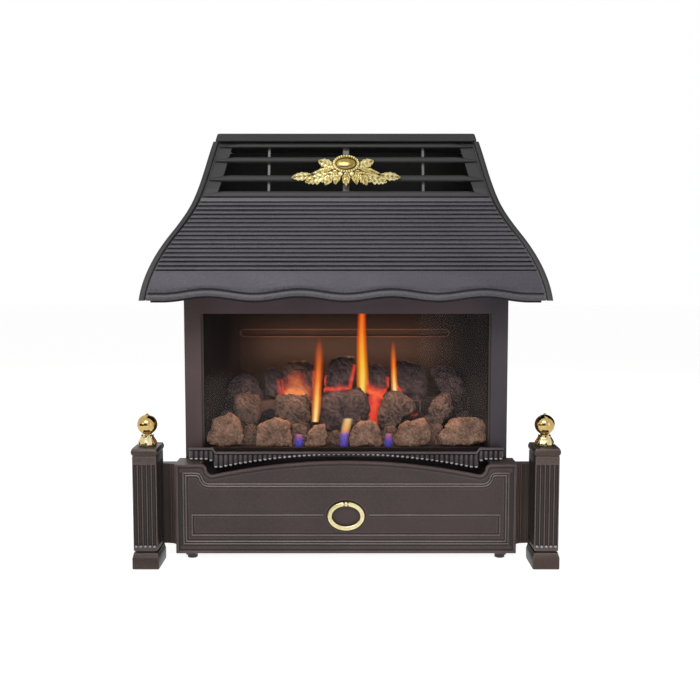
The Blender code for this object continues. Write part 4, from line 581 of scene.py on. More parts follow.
# Each hot line is (X, Z) to (X, Z) on the rear coals' faces, its reach and its heat, in metres.
hot_lines = (
    (-0.112, 0.258, -0.1065, 0.236, 0.0022, 0.62), (-0.093, 0.236, -0.074, 0.236, 0.012, 1.2),
    (-0.084, 0.238, -0.083, 0.256, 0.012, 0.86), (-0.0535, 0.272, -0.054, 0.232, 0.0026, 0.66),
    (-0.105, 0.258, -0.103, 0.236, 0.0024, 0.55), (-0.035, 0.268, -0.036, 0.24, 0.0024, 0.7),
    (-0.036, 0.243, 0.004, 0.245, 0.0036, 0.8), (0.0135, 0.282, 0.006, 0.247, 0.003, 0.74),
    (0.0335, 0.258, 0.039, 0.238, 0.003, 0.8), (0.039, 0.238, 0.064, 0.24, 0.0048, 0.86),
    (0.068, 0.262, 0.069, 0.244, 0.0026, 0.74), (0.037, 0.24, 0.06, 0.234, 0.009, 0.95),
    (0.047, 0.236, 0.045, 0.2, 0.011, 0.86), (0.076, 0.25, 0.088, 0.242, 0.004, 0.78),
    (0.106, 0.204, 0.114, 0.203, 0.0026, 0.55),
)


def heat_at(x, z):
    """How hot a face at this place is, from the nearest of the hot lines."""
    most = 0.0
    for x0, z0, x1, z1, reach, strength in hot_lines:
        run, rise = x1 - x0, z1 - z0
        along = min(max(((x - x0) * run + (z - z0) * rise) / (run**2 + rise**2), 0), 1)
        gap = math.hypot(x - x0 - along * run, z - z0 - along * rise)
        uneven = 0.9 + 0.22 * noise.noise(Vector((x * 170, z * 170, reach * 900)))
        glow = 0.6 * math.exp(-((gap / reach) ** 2)) + 0.4 * math.exp(-((gap / (1.9 * reach)) ** 2))
        most = max(most, strength * uneven * glow)
    return most


def coal(name, outline, near, far, seat, seed, paint, node=None, lines=0.0):
    """A rough lump whose silhouette from the front is the outline, seated on its step."""
    loop = smooth_loop([(x / 1000, z / 1000) for x, z in outline], 84)
    low = min(point.y for point in loop)
    high = max(point.y for point in loop)
    if low > seat:
        loop = [Vector((p.x, seat + (p.y - low) * (high - seat) / (high - low))) for p in loop]
    heart = Vector((sum(point.x for point in loop) / len(loop), seat + (high - seat) * 0.38))
    mean = sum((point - heart).length for point in loop) / len(loop)
    rings = []
    steps = 30
    for k in range(steps + 1):
        t = -math.cos(math.pi * (0.02 + 0.96 * k / steps))
        share = (1 - abs(t) ** 3.6) ** (1 / 3.6)
        own = min(max((share - 0.3) / 0.62, 0), 1)
        own = own * own * (3 - 2 * own)
        y = (near + far) / 2 + (far - near) / 2 * t
        ring = []
        for point in loop:
            from_heart = point - heart
            spread = from_heart * (share * (own + (1 - own) * mean / from_heart.length))
            x, z = heart + spread
            away = Vector((spread.x, 0, spread.y)).normalized() * share + Vector((0, t * 0.8, 0))
            spot = Vector((x, y, z)) * 60 + Vector((seed * 7.3, 0, 0))
            rough = noise.noise(spot) * 0.004 + abs(noise.noise(spot * 2.3)) * 0.003
            rough += noise.noise(spot * 5) * 0.001
            layer = noise.noise(Vector((seed, seed, spot.z * 2.2 + spot.x * 0.9)))
            rough -= 0.0022 * max(0.5 - abs(layer) * 6, 0)
            cell = noise.voronoi(spot * 0.75)[0]
            rough -= max(0.14 - (cell[1] - cell[0]), 0) * 0.02
            rough += lines * math.sin(900 * (x + z))
            place = Vector((x, y, z)) + away * (rough - 0.0012)
            ring.append((place.x, min(max(place.y, near), far), max(place.z, seat)))
        rings.append(ring)
    lump = bare(name, skin(rings))
    ember = lump.data.attributes.new("ember", "FLOAT", "POINT")
    if near > 0.025:
        for i, vertex in enumerate(lump.data.vertices):
            ember.data[i].value = heat_at(vertex.co.x, vertex.co.z)
    fitted(lump, paint, node=node, sharp=80)


slate = coal_paint("slate_coal", (0.009, 0.0065, 0.0095), (0.118, 0.086, 0.098), 0.001, 0.25)
umber = coal_paint("umber_coal", (0.042, 0.027, 0.022), (0.23, 0.152, 0.122), 0.0007, 0.35)
jet = coal_paint("jet_coal", (0.017, 0.012, 0.013), (0.15, 0.098, 0.098), 0.001, 0.2)
earth = coal_paint("earth_coal", (0.18, 0.096, 0.062), (0.694, 0.414, 0.28), 0.0003, 0.72)
loam = coal_paint("loam_coal", (0.085, 0.05, 0.036), (0.36, 0.22, 0.155), 0.0004, 0.5)
amber = coal_paint("amber_coal", (0.014, 0.0085, 0.0085), (0.16, 0.098, 0.086), 0.001, 0.25,
                   (0.82, 0.24, 0.05), (0.42, 0.075, 0.016))
soot = coal_paint("pitch_coal", (0.006, 0.004, 0.005), (0.03, 0.021, 0.022))

# Outlines are (X, Z) in millimetres, seen from the front. Each row then has its near Y, its
# far Y and the height of the step that it stands on, in metres.
rear = (
    ("a", slate, [(-201, 238), (-198, 248), (-187, 260), (-172, 267), (-157, 263), (-145, 251),
     (-138, 238), (-135, 224), (-137, 196), (-157, 193), (-186, 196), (-200, 210)]),
    ("b", slate, [(-138, 261), (-133, 272), (-119, 277), (-107, 272), (-102, 258), (-102, 238),
     (-109, 227), (-123, 227), (-133, 238)]),
    ("c", amber, [(-106, 275), (-99, 285), (-82, 291), (-65, 289), (-51, 279), (-48, 261), (-51, 238),
     (-62, 224), (-99, 224), (-104, 238), (-106, 258)]),
    ("d", slate, [(-34, 272), (-29, 285), (-17, 296), (0, 298), (15, 294), (18, 279), (13, 258), (3, 244),
     (-11, 239), (-31, 238), (-38, 244)]),
    ("e", slate, [(32, 261), (35, 275), (44, 285), (57, 285), (68, 272), (71, 255), (66, 241), (51, 231),
     (37, 238), (32, 248)]),
    ("f", slate, [(71, 282), (85, 289), (105, 289), (122, 280), (134, 261), (136, 238), (129, 217),
     (116, 210), (98, 227), (85, 244), (74, 261)]),
    ("g", slate, [(142, 273), (159, 281), (176, 279), (190, 265), (202, 244), (204, 224), (197, 210),
     (180, 203), (167, 213), (156, 234), (144, 258)]),
)
for seed, (letter, paint, outline) in enumerate(rear):
    lines = 0.0006 if letter == "f" else 0.0
    coal(f"rear_coal_{letter}", outline, 0.0425, 0.0857, 0.2253, seed, paint, "rear_coals", lines=lines)
middle_row = (
    ("loose_coal_1", umber, [(-182, 233), (-178, 238), (-153, 239), (-140, 234), (-139, 219), (-141, 199),
     (-148, 184), (-157, 182), (-167, 186), (-180, 196), (-182, 213)]),
    ("loose_coal_2", umber, [(-116, 229), (-110, 238), (-90, 238), (-67, 238), (-63, 229), (-58, 213),
     (-57, 192), (-60, 179), (-70, 176), (-87, 177), (-103, 189), (-115, 202), (-117, 216)]),
    ("loose_coal_3", jet, [(-42, 229), (-37, 239), (-17, 244), (10, 248), (25, 248), (33, 239), (38, 226),
     (38, 216), (33, 209), (23, 199), (3, 197), (-17, 196), (-33, 194), (-40, 202), (-43, 216)]),
    ("loose_coal_4", umber, [(50, 202), (53, 219), (63, 239), (76, 245), (93, 241), (108, 229),
     (113, 219), (105, 209), (90, 202), (83, 189), (75, 176), (65, 174), (58, 182), (51, 192)]),
    ("loose_coal_5", umber, [(133, 216), (141, 229), (156, 239), (166, 239), (169, 229), (173, 216),
     (166, 202), (153, 189), (136, 181), (120, 184), (116, 194), (130, 206)]),
    ("side_coal_left", slate, [(-207, 180), (-206, 200), (-199, 211), (-188, 213), (-181, 204),
     (-180, 182)]),
    ("side_coal_right", slate, [(177, 180), (178, 202), (187, 211), (199, 209), (208, 198), (208, 181)]),
)
for seed, (name, paint, outline) in enumerate(middle_row):
    node = name if name.startswith("loose") else None
    coal(f"{name}_lump", outline, 0.0075, 0.0405, 0.1783, seed + 20, paint, node)
coal("ember_bank", [(30, 178), (29, 222), (36, 236), (48, 238), (60, 233), (66, 214), (64, 178)],
     0.032, 0.0418, 0.1783, 41, soot)

# Filling lumps, each (X, width, top) in millimetres: a bank behind the middle row and a bed
# behind the front row. Every lump of a row has the same shape across its width.
bank = ((-214, 36, 224), (-188, 34, 232), (-158, 36, 230), (-128, 36, 212), (-98, 34, 231),
        (-66, 36, 226), (-38, 30, 229), (-8, 36, 232), (20, 28, 228), (78, 34, 229), (108, 34, 226),
        (136, 32, 232), (166, 36, 230), (194, 34, 233), (214, 26, 224))
bed = ((-152, 30, 194), (-76, 30, 193), (-20, 24, 184), (68, 28, 192), (141, 30, 196), (-222, 22, 192),
       (-112, 44, 190), (100, 48, 190), (180, 44, 194), (212, 22, 196), (24, 30, 188), (-190, 44, 194),
       (-48, 26, 188))
for label, lumps, shape, foot, near, far, seat, first, paint in (
        ("bank", bank, ((-0.46, 14), (-0.2, 2), (0.18, 0), (0.46, 12)), 178,
         0.0345, 0.0418, 0.1783, 60, soot),
        ("bed", bed, ((-0.44, 10), (-0.2, 1), (0.16, 0), (0.44, 8)), 158,
         0.0, 0.007, 0.157, 90, loam)):
    for i, (x, width, top) in enumerate(lumps):
        outline = [(x - width / 2, foot), *[(x + width * share, top - drop) for share, drop in shape],
                   (x + width / 2, foot)]
        coal(f"{label}_coal_{i}", outline, near, far, seat, first + i, paint)
front_row = (
    ("a", [(-218, 185), (-212, 201), (-199, 210), (-182, 210), (-169, 201), (-163, 185), (-165, 168),
     (-170, 162), (-212, 162), (-222, 168)]),
    ("b", [(-144, 168), (-143, 185), (-137, 198), (-121, 205), (-104, 205), (-91, 196), (-88, 182),
     (-85, 165), (-90, 158), (-140, 158)]),
    ("c", [(-65, 168), (-62, 182), (-52, 191), (-39, 196), (-33, 191), (-33, 168), (-34, 160),
     (-65, 159)]),
    ("d", [(7, 162), (7, 182), (12, 193), (26, 201), (43, 203), (53, 191), (56, 175), (57, 162),
     (36, 158), (12, 158)]),
    ("e", [(78, 165), (81, 182), (88, 196), (111, 203), (127, 200), (134, 185), (132, 165), (117, 158),
     (88, 159)]),
    ("f", [(148, 168), (153, 185), (163, 198), (179, 206), (205, 205), (223, 198), (225, 182), (223, 168),
     (199, 162), (163, 160)]),
)
for seed, (letter, outline) in enumerate(front_row):
    coal(f"front_coal_{letter}", outline, -0.0225, 0.0035, 0.1603, seed + 40, earth, "front_coals")

# Flames: thin standing sheets of burning gas over the bed's slots, blue at the root and
# yellow to orange at the tip. They are shown because the photograph shows the fire lit.


def flame_paint(name, colours, opacity, strength, warm_edge=True):
    """Burning gas: colours and opacity up its height, and fading to clear at both sides."""
    material, tree, shader = new_paint(name)
    place = add(tree, "ShaderNodeTexCoord", {}).outputs
    split = add(tree, "ShaderNodeSeparateXYZ", {0: place["UV"]}).outputs
    wisp = mottle(tree, place["Object"], 60)
    up = maths(tree, "MULTIPLY_ADD", wisp, 0.16, maths(tree, "SUBTRACT", split["Y"], 0.08))
    fade = ramp(tree, up, [(i / (len(opacity) - 1), (v, v, v)) for i, v in enumerate(opacity)])
    none, some, full = (0, 0, 0), (0.45, 0.45, 0.45), (1, 1, 1)
    sides = ((0, none), (0.2, some), (0.36, full), (0.64, full), (0.8, some), (1, none))
    clear = maths(tree, "MULTIPLY", fade, ramp(tree, split["X"], sides))
    deep, warm = (1.0, 0.28, 0.15), (1.0, 0.45, 0.25)
    rim = ((0, deep), (0.24, warm), (0.44, full), (0.56, full), (0.76, warm), (1, deep))
    edges = ramp(tree, split["X"], rim if warm_edge else ((0, full), (1, full)))
    tinted = add(tree, "ShaderNodeMix", {0: 1, 6: ramp(tree, up, colours), 7: edges}, data_type="RGBA",
                 blend_type="MULTIPLY")
    tree.links.new(clear, shader.inputs["Alpha"])
    tree.links.new(tinted.outputs[2], shader.inputs["Emission Color"])
    shader.inputs["Base Color"].default_value = (0, 0, 0, 1)
    shader.inputs["Specular IOR Level"].default_value = 0
    shader.inputs["Emission Strength"].default_value = strength
    return material


def flame(name, spine, y, widths, paint):
    """A thin closed tongue along a spine of (x, z) points, of the half widths given up it."""
    path = smooth_loop(spine + spine[-2:0:-1], 48)[:25]
    across, points, faces = [], [], []
    count = 16
    for i, point in enumerate(path):
        v = i / (len(path) - 1)
        spot = min(int(v * (len(widths) - 1)), len(widths) - 2)
        share = v * (len(widths) - 1) - spot
        half = widths[spot] + (widths[spot + 1] - widths[spot]) * share * share * (3 - 2 * share)
        for k, turn in enumerate(angles(count)):
            points.append((point.x + half * math.cos(turn), y + 0.0012 * math.sin(turn), point.y))
            across.append((0.5 + 0.5 * math.cos(turn), v))
            if i:
                n = (k + 1) % count
                row = (i - 1) * count
                faces.append((row + k, row + n, row + count + n, row + count + k))
    faces.append(tuple(range(count))[::-1])
    last = (len(path) - 1) * count
    faces.append(tuple(range(last, last + count)))
    mesh = bpy.data.meshes.new(name)
    mesh.from_pydata(points, [], faces)
    layer = mesh.uv_layers.new(name="UVMap")
    for corner in mesh.loops:
        layer.data[corner.index].uv = across[corner.vertex_index]
    fitted(put(name, mesh), paint, sharp=80)


column = flame_paint("column_flame", ((0.0, (1.0, 0.78, 0.16)), (0.35, (1.0, 0.62, 0.055)),
                                      (0.7, (1.0, 0.33, 0.03)), (1.0, (0.85, 0.11, 0.02))),
                     (0.95, 1.0, 0.95, 0.75), 1.15)
tongue = flame_paint("tongue_flame", ((0.0, (1.0, 0.88, 0.38)), (0.25, (1.0, 0.62, 0.12)),
                                      (0.48, (1.0, 0.29, 0.035)), (1.0, (0.7, 0.12, 0.03))),
                     (0.95, 0.95, 0.72, 0.36, 0.0), 1.1)
root = flame_paint("root_flame", ((0.0, (0.06, 0.05, 0.42)), (0.42, (0.22, 0.12, 0.55)),
                                  (0.58, (0.95, 0.42, 0.12)), (1.0, (1.0, 0.68, 0.28))),
                   (0.75, 0.85, 0.95, 0.9), 1.0, warm_edge=False)
pilot = flame_paint("pilot_flame", ((0.0, (0.05, 0.05, 0.4)), (0.5, (0.1, 0.08, 0.48)),
                                    (0.8, (0.4, 0.12, 0.4)), (1.0, (0.8, 0.22, 0.25))),
                    (0.7, 0.75, 0.75, 0.5), 1.0, warm_edge=False)
for name, y, spine, widths, paint in (
        ("tall_flame", 0.04, [(0.026, 0.238), (0.0265, 0.27), (0.0255, 0.3), (0.025, 0.33),
                                (0.0252, 0.355), (0.0255, 0.3735)],
         (0.0096, 0.0108, 0.0098, 0.0088, 0.0078, 0.0072), column),
        ("left_flame", 0.0065, [(-0.05, 0.196), (-0.048, 0.222), (-0.0465, 0.247), (-0.0445, 0.279),
                                (-0.0435, 0.304), (-0.043, 0.335)],
         (0.0066, 0.008, 0.0076, 0.008, 0.0078, 0.005), tongue),
        ("right_flame", 0.041, [(0.0795, 0.242), (0.078, 0.262), (0.0772, 0.285), (0.0765, 0.305),
                                 (0.0765, 0.325)],
         (0.0066, 0.0058, 0.0056, 0.0054, 0.0034), tongue),
        ("front_flame_left", -0.018, [(-0.0755, 0.1605), (-0.075, 0.17), (-0.075, 0.18)],
         (0.0074, 0.008, 0.0074), pilot),
        ("front_flame_middle", -0.018, [(-0.004, 0.1605), (-0.0035, 0.175), (-0.0005, 0.19),
                                        (0.003, 0.205)], (0.0074, 0.0076, 0.0084, 0.0076), root),
        ("front_flame_right", -0.018, [(0.0665, 0.1605), (0.067, 0.17), (0.067, 0.181)],
         (0.007, 0.0074, 0.0064), pilot)):
    flame(name, spine, y, widths, paint)

# Window: a pressed steel surround with a ceramic glass behind it on a rope seal, held by a
# bright retainer strip down each side.
surround_paint = finish("surround_paint", (0.046, 0.033, 0.035), (0.088, 0.063, 0.067), 0.0011, 0.00006, 0.46)
# Painted shade along the bottom rail behind the grate. Across the face, painted light: a little warmer at the
# left stile, lighter in the middle, and darker and bluer at the right stile as painted shade.
paint_light_along(surround_paint, "Z", ((0.148, 0.15), (0.15, 1.0)))
left_stile_light, middle_face_light, right_stile_shade = (1.05, 0.92, 0.88), (1.3, 1.22, 1.35), (0.62, 0.68, 0.8)
paint_light_along(surround_paint, "X", ((-0.245, left_stile_light), (-0.225, left_stile_light), (-0.19, middle_face_light),
                            (0.19, middle_face_light), (0.225, right_stile_shade), (0.245, right_stile_shade)))
rope = finish("rope", (0.3, 0.29, 0.26), (0.6, 0.57, 0.5), 0.0016, 0.0006, 0.95)
dull_steel = finish("dull_steel", (0.05, 0.04, 0.036), (0.11, 0.09, 0.082), 0.0007, 0.00003, 0.45, 1.0)
glass = finish("glass", (0.02, 0.015, 0.012), (0.03, 0.022, 0.02), 0.02, 0.000002, 0.05)
glass.node_tree.nodes["Principled BSDF"].inputs["Alpha"].default_value = 0.12
painted(surround_paint, "window_surround")
painted(rope, "glass_rope_seal")
painted(dull_steel, "glass_retainer_left", "glass_retainer_right")
painted(glass, "window_glass")

# Canopy: an iron casting with rounded ribs and a wavy lip, between two side sheets whose edges
# are rolled forward as rims. It is sprayed with a fine matt textured paint.
canopy_paint = finish("canopy_paint", (0.04, 0.038, 0.045), (0.07, 0.067, 0.077), 0.0022, 0.0003, 0.5,
                      painted_shading=(0.005, 0.12, 1.8), speckle=1.3)
# Painted light on the casting: the lip lighter as a painted highlight, the band above it darker as painted
# shade, and lighter again over the ribs. The paint also carries painted shade in corners and a painted
# highlight on edges.
paint_light_along(canopy_paint, "Z", ((0.408, (1.35, 1.3, 1.33)), (0.413, (0.8, 0.77, 0.88)),
                          (0.437, (0.8, 0.77, 0.88)), (0.442, (1.16, 1.13, 1.16))))
# A darker paint than the canopy's for the side sheets, as painted shade, made lighter towards the bottom as
# painted light. It also carries painted shade in corners and a painted highlight on edges.
bar_paint = finish("bar_paint", (0.008, 0.0075, 0.0075), (0.018, 0.0172, 0.0172), 0.0011, 0.0001, 0.62,
                   painted_shading=(0.004, 0.3, 3.0))
paint_light_along(bar_paint, "Z", ((0.4, 4.0), (0.46, 2.6), (0.53, 1.0)))
# A near black paint for strips that stand for shade under and along the lip.
shadow_black = finish("shadow_black", (0.003, 0.003, 0.003), (0.008, 0.007, 0.007), 0.0011, 0.00008, 0.7)
HOOD_COLUMNS = 170
MOST_FORWARD = -0.1449


def lip_wave(x):
    """How far the wavy lip rises at X."""
    return 0.00325 * (1 - math.cos(2 * math.pi * x / 0.1335)) if abs(x) < 0.267 else 0.0


def lip_strip(half, y, foot, tall, deep):
    """A thin strip that follows the wave, from its half width and its foot's height."""
    strip = []
    for i in range(HOOD_COLUMNS + 1):
        x = half * (2 * i / HOOD_COLUMNS - 1)
        z = foot + lip_wave(x)
        strip.append([(x, y, z), (x, y, z + tall), (x, y + deep, z + tall), (x, y + deep, z)])
    return skin(strip)


# Each row down the casting is its height and how deep it lies behind the canopy's face.
rows = [(0.5479, 0.0), (0.544, 0.0), (0.5426, 0.0003), (0.542, 0.0036)]
for rib in range(16):
    for step in range(8):
        t = (step + 1) / 8
        rows.append((0.542 - 0.0064 * (rib + t), 0.0036 * (1 - math.sin(math.pi * t) ** 0.5)))
rows += [(0.439, 0.0003), (0.4375, 0.0), (0.43, 0.0), (0.422, 0.0), (0.414, 0.0), (0.4088, 0.0),
         (0.4077, 0.0004), (0.4071, 0.0028), (0.4057, 0.0028), (0.405, 0.0002), (0.4042, -0.0009),
         (0.403, -0.0014), (0.401, -0.0016), (0.399, -0.0015), (0.3974, -0.001),
         (0.3964, -0.0002), (0.396, 0.001)]
rings = []
for z, depth in rows:
    half = canopy_half(z) - 0.0111
    moved = min(max((0.43 - z) / 0.018, 0), 1)
    moved = moved * moved * (3 - 2 * moved)
    front, rear = [], []
    for i in range(HOOD_COLUMNS + 1):
        x = half * (2 * i / HOOD_COLUMNS - 1)
        rise = lip_wave(x) * moved
        front.append((x, max(canopy_front(z) + depth, MOST_FORWARD), z + rise))
        rear.append((x, canopy_front(z) + 0.004, z + rise))
    rings.append(front + rear[::-1])
fitted(bare("hood_casting", skin(rings)), canopy_paint, node="hood_front", sharp=40)
# Two black strips stand for shade: one just under the lip's edge as its painted shadow, and one in the lip's
# incised line as the shade in that groove.
for name, at, narrower, behind, foot, tall, deep in (
        ("lip_flange", 0.396, 0.0165, 0.0044, 0.3932, 0.0076, 0.001),
        ("lip_groove", 0.406, 0.0125, 0.0012, 0.4057, 0.0014, 0.002)):
    strip = lip_strip(canopy_half(at) - narrower, canopy_front(at) + behind, foot, tall, deep)
    fitted(bare(name, strip), shadow_black, sharp=40)

for side, label in ((-1, "left"), (1, "right")):
    rings = []
    for i in range(73):
        z = CANOPY_FOOT + CANOPY_RISE * i / 72
        half = canopy_half(z)
        front = canopy_front(z) - 0.002
        plan = [(0.0016, 0.1172), (0, 0.1172), *[(inwards, front + back) for inwards, back in (
            (0, 0.003), (0.0006, 0.0012), (0.0018, 0.0004), (0.0036, 0), (0.0062, 0), (0.0076, 0.0005),
            (0.0083, 0.0014), (0.0085, 0.003), (0.0085, 0.0068), (0.0016, 0.0068))]]
        rings.append([(side * (half - inwards), max(y, MOST_FORWARD), z) for inwards, y in plan[::side]])
    cheek = bare(f"canopy_side_{label}", skin(rings))
    fitted(cheek, bar_paint, node=f"hood_{label}_cheek", sharp=50)
    rings = []
    for i in range(73):
        z = 0.3965 + 0.237 * i / 72
        outer, inner = side * (canopy_half(z) - 0.0087), side * (canopy_half(z) - 0.0109)
        front = canopy_front(z) + 0.004
        rings.append([(outer, front, z), (outer, front + 0.0012, z), (inner, front + 0.0012, z),
                      (inner, front, z)])
    fitted(bare(f"canopy_groove_{label}", skin(rings)), bar_paint, sharp=50)
    x = side * 0.1974
    flange = slab((x - 0.0024, x + 0.0024), (-0.035, 0.1165), (0.6326, 0.634))
    fitted(bare(f"canopy_flange_{label}", flange), bar_paint)

# Grille: four blade bars cast with flat end blocks, over uprights, with a dark space behind.
# The bars run out over the blocks as long points, and their upper edges catch the light.
grille_paint = finish("grille_paint", (0.012, 0.011, 0.011), (0.024, 0.023, 0.023), 0.0011, 0.0001, 0.62,
                      painted_shading=(0.004, 0.3, 3.0))
# The lowest bar is painted twice as light, as painted light. The paint also carries painted shade in corners
# and a painted highlight on edges.
paint_light_along(grille_paint, "Z", ((0.5495, 2.0), (0.56, 2.0), (0.564, 1.0)))
comb_paint = finish("comb_paint", (0.072, 0.068, 0.067), (0.144, 0.137, 0.134), 0.0011, 0.00008, 0.42)
bars = ((0.6314, 0.6244), (0.6105, 0.602), (0.5827, 0.573), (0.5582, 0.5487))
shapes = []
for high, low in bars:
    middle, rise = (high + low) / 2, (high - low) / 2
    half = canopy_half(middle) - 0.0112
    rings = []
    for i in range(97):
        x = half * (2 * i / 96 - 1)
        reach = half - abs(x)
        swell = min(reach / 0.03, 1)
        thick = rise * (0.25 + 0.75 * swell**0.8)
        lift = -0.6 * (rise - thick)
        out = 0.0046 * (0.55 + 0.45 * swell)
        section = []
        for along, across in ((-1.0, 0.0), (-0.95, -0.45), (-0.55, -0.85), (0.0, -1.0), (0.55, -0.93),
                              (0.86, -0.72), (1.0, -0.38), (1.0, 0.0), (0.8, 0.55), (-0.8, 0.55)):
            z = middle + lift + thick * along
            y = canopy_front(min(max(z, 0.5487), 0.634)) + 0.0048 + out * across * 1.15
            section.append((x, y, z))
        rings.append(section)
    shapes.append(skin(rings))
for side in (-1, 1):
    rings = []
    for i in range(25):
        z = 0.5489 + (0.6312 - 0.5489) * i / 24
        outer, inner = canopy_half(z) - 0.0113, canopy_half(z) - 0.031
        y = canopy_front(z) + 0.0052
        plan = ((outer, 0), (outer, 0.0035), (inner + 0.0015, 0.0035), (inner, 0.0008), (inner + 0.001, 0))
        rings.append([(side * x, y + back, z) for x, back in plan])
    shapes.append(skin(rings))
fitted(bare("grille_bars", together(shapes)), grille_paint, node="hood_grille", sharp=36)
shapes = []
for x, half in ((-0.117, 0.0023), (0.0, 0.005), (0.117, 0.0023)):
    rings = []
    for i in range(25):
        z = 0.5488 + (0.6313 - 0.5488) * i / 24
        y = canopy_front(z) + 0.0095
        rings.append([(x - half, y + 0.001, z), (x - half + 0.0007, y, z), (x + half - 0.0007, y, z),
                      (x + half, y + 0.001, z), (x + half, y + 0.004, z), (x - half, y + 0.004, z)])
    shapes.append(skin(rings))
fitted(bare("grille_uprights", together(shapes)), comb_paint, node="grille_comb", sharp=36)

# Top plate: one pressed shelf with bevelled edges and ends that slope in a little.
# A darker paint for the top plate, as painted shade, since the plate faces the light from above. It also
# carries painted shade in corners and a painted highlight on edges.
shelf_paint = finish("shelf_paint", (0.008, 0.0075, 0.0078), (0.015, 0.014, 0.0145), 0.0011, 0.0001, 0.66,
                     painted_shading=(0.004, 0.3, 4.0))
rings = []
for z, cut in ((0.6343, 0.0), (0.6355, -0.0006), (0.644, 0.0022), (0.6455, 0.003), (0.646, 0.0044)):
    half, front = 0.1974 - cut * 0.9, -0.0489 + cut * 0.8
    rings.append([(-half, CASE_BACK, z), (-half, front + 0.002, z), (-half + 0.002, front, z),
                  (half - 0.002, front, z), (half, front + 0.002, z), (half, CASE_BACK, z)])
fitted(bare("top_shelf", skin(rings)), shelf_paint, node="hood_top", sharp=30)

# Brass spray: a pierced casting of leaves and a beaded oval dome, polished, with painted shade in its hollows
# and a painted highlight along its edges. It is riveted to the two lower bars of the grille.


def brass_finish(name, deep, bright, grain, rough):
    """Polished brass with painted shade in its hollows, read from how the surface is turned, and a painted
    highlight along its edges.
    """
    material = finish(name, deep, bright, grain, 0.00006, rough, 1.0, tone=30.0)
    tree, shader, _, colour = opened(material)
    bends = add(tree, "ShaderNodeNewGeometry", {}).outputs["Pointiness"]
    painted_shading = add(tree, "ShaderNodeMix", {0: ranged(tree, bends, 0.42, 0.5), 6: (0.1, 0.055, 0.015, 1),
                                       7: colour}, data_type="RGBA")
    tree.links.new(painted_shading.outputs[2], shader.inputs["Base Color"])
    paint_shade_and_highlight(material, 0.0028, 0.1, 1.1)
    return material


spray_brass = brass_finish("spray_brass", (0.5, 0.41, 0.16), (0.84, 0.74, 0.4), 0.004, 0.26)
dome_brass = brass_finish("dome_brass", (0.22, 0.16, 0.045), (0.42, 0.33, 0.11), 0.006, 0.22)
BADGE_Z = 0.588
BAR_LOW, BAR_HIGH = 0.57785, 0.60625
badge_slope = (canopy_front(BAR_HIGH) - canopy_front(BAR_LOW)) / (BAR_HIGH - BAR_LOW)


def on_badge(x, z, out):
    """A place on the spray: X, height over its middle, and how far it stands out."""
    face = canopy_front(BAR_LOW) - 0.003 + badge_slope * (BADGE_Z + z - BAR_LOW)
    return (x, face - out, BADGE_Z + z)


def leaf(path, width, lobes, cut, rise, veins):
    """A relief leaf along a path of (x, z), with lobed edges, a mid rib and side veins."""
    steps, wide = 44, 22
    spine = smooth_loop(path + path[-2:0:-1], 4 * steps)[:2 * steps + 1:2]
    rings = []
    for i, point in enumerate(spine):
        v = i / steps
        ahead = spine[min(i + 1, steps)] - spine[max(i - 1, 0)]
        normal = Vector((-ahead.y, ahead.x)).normalized()
        lobe = abs(math.sin(math.pi * lobes * v)) ** 0.6
        reach = width * (math.sin(math.pi * min(v * 0.92 + 0.05, 1)) ** 0.75) * (1 - cut + cut * lobe)
        reach = max(reach, 0.0004)
        front, rear = [], []
        for k in range(wide + 1):
            u = 2 * k / wide - 1
            spot = point + normal * (u * reach) + ahead.normalized() * (abs(u) * reach * 0.28)
            vein = 0.5 + 0.5 * math.cos(2 * math.pi * (lobes * v - abs(u) * veins))
            out = rise * (0.35 + 0.65 * (1 - u * u) ** 0.5) - rise * 0.42 * vein * abs(u) ** 0.6
            out += rise * 0.3 * math.exp(-((u / 0.12) ** 2))
            front.append(on_badge(spot.x, spot.y, max(out, 0.0003)))
            rear.append(on_badge(spot.x, spot.y, -0.0006))
        rings.append(front + rear[::-1])
    return skin(rings)


# Each leaf's path is (X, Z) in millimetres from the spray's middle, drawn for the right side.
leaves = []
for side in (-1, 1):
    for path, *form in (
            ([(48, -6), (58, -7), (70, -8), (82, -9.5)], 0.0072, 5, 0.3, 0.0036, 0.5),
            ([(24, -3), (36, -8), (50, -11.5), (61, -17)], 0.01, 5, 0.26, 0.0042, 0.7),
            ([(20, 2), (32, 2), (44, -3), (56, -6)], 0.0052, 4, 0.3, 0.004, 0.4),
            ([(14, 4), (24, 9), (33, 13), (42, 16)], 0.0082, 5, 0.32, 0.0036, 0.5),
            ([(10, 2), (20, -4), (27, -12), (31, -21)], 0.0085, 5, 0.26, 0.0044, 0.6),
            ([(5, 0), (11, -6), (15, -13), (16, -20)], 0.0062, 4, 0.24, 0.0048, 0.5),
            ([(44, -4), (50, -5), (56, -6), (62, -6)], 0.0016, 1, 0.0, 0.0022, 0.0)):
        leaves.append(leaf([(side * x / 1000, z / 1000) for x, z in path], *form))
    knob = []
    for k in range(13):
        turn = math.pi * (0.04 + 0.92 * k / 12)
        radius = 0.0042 * math.sin(turn)
        knob.append([on_badge(x, z, 0.0036 + 0.003 * math.cos(turn))
                     for x, z in oval(side * 0.0085, -0.0035, radius, radius, 20)])
    leaves.append(skin(knob))
leaves.append(leaf([(0, 0.004), (0.0004, -0.006), (0, -0.015), (0, -0.0225)], 0.0068, 3, 0.18, 0.0052, 0.6))
fitted(bare("spray_leaves", together(leaves)), spray_brass, node="badge_spray", sharp=55)

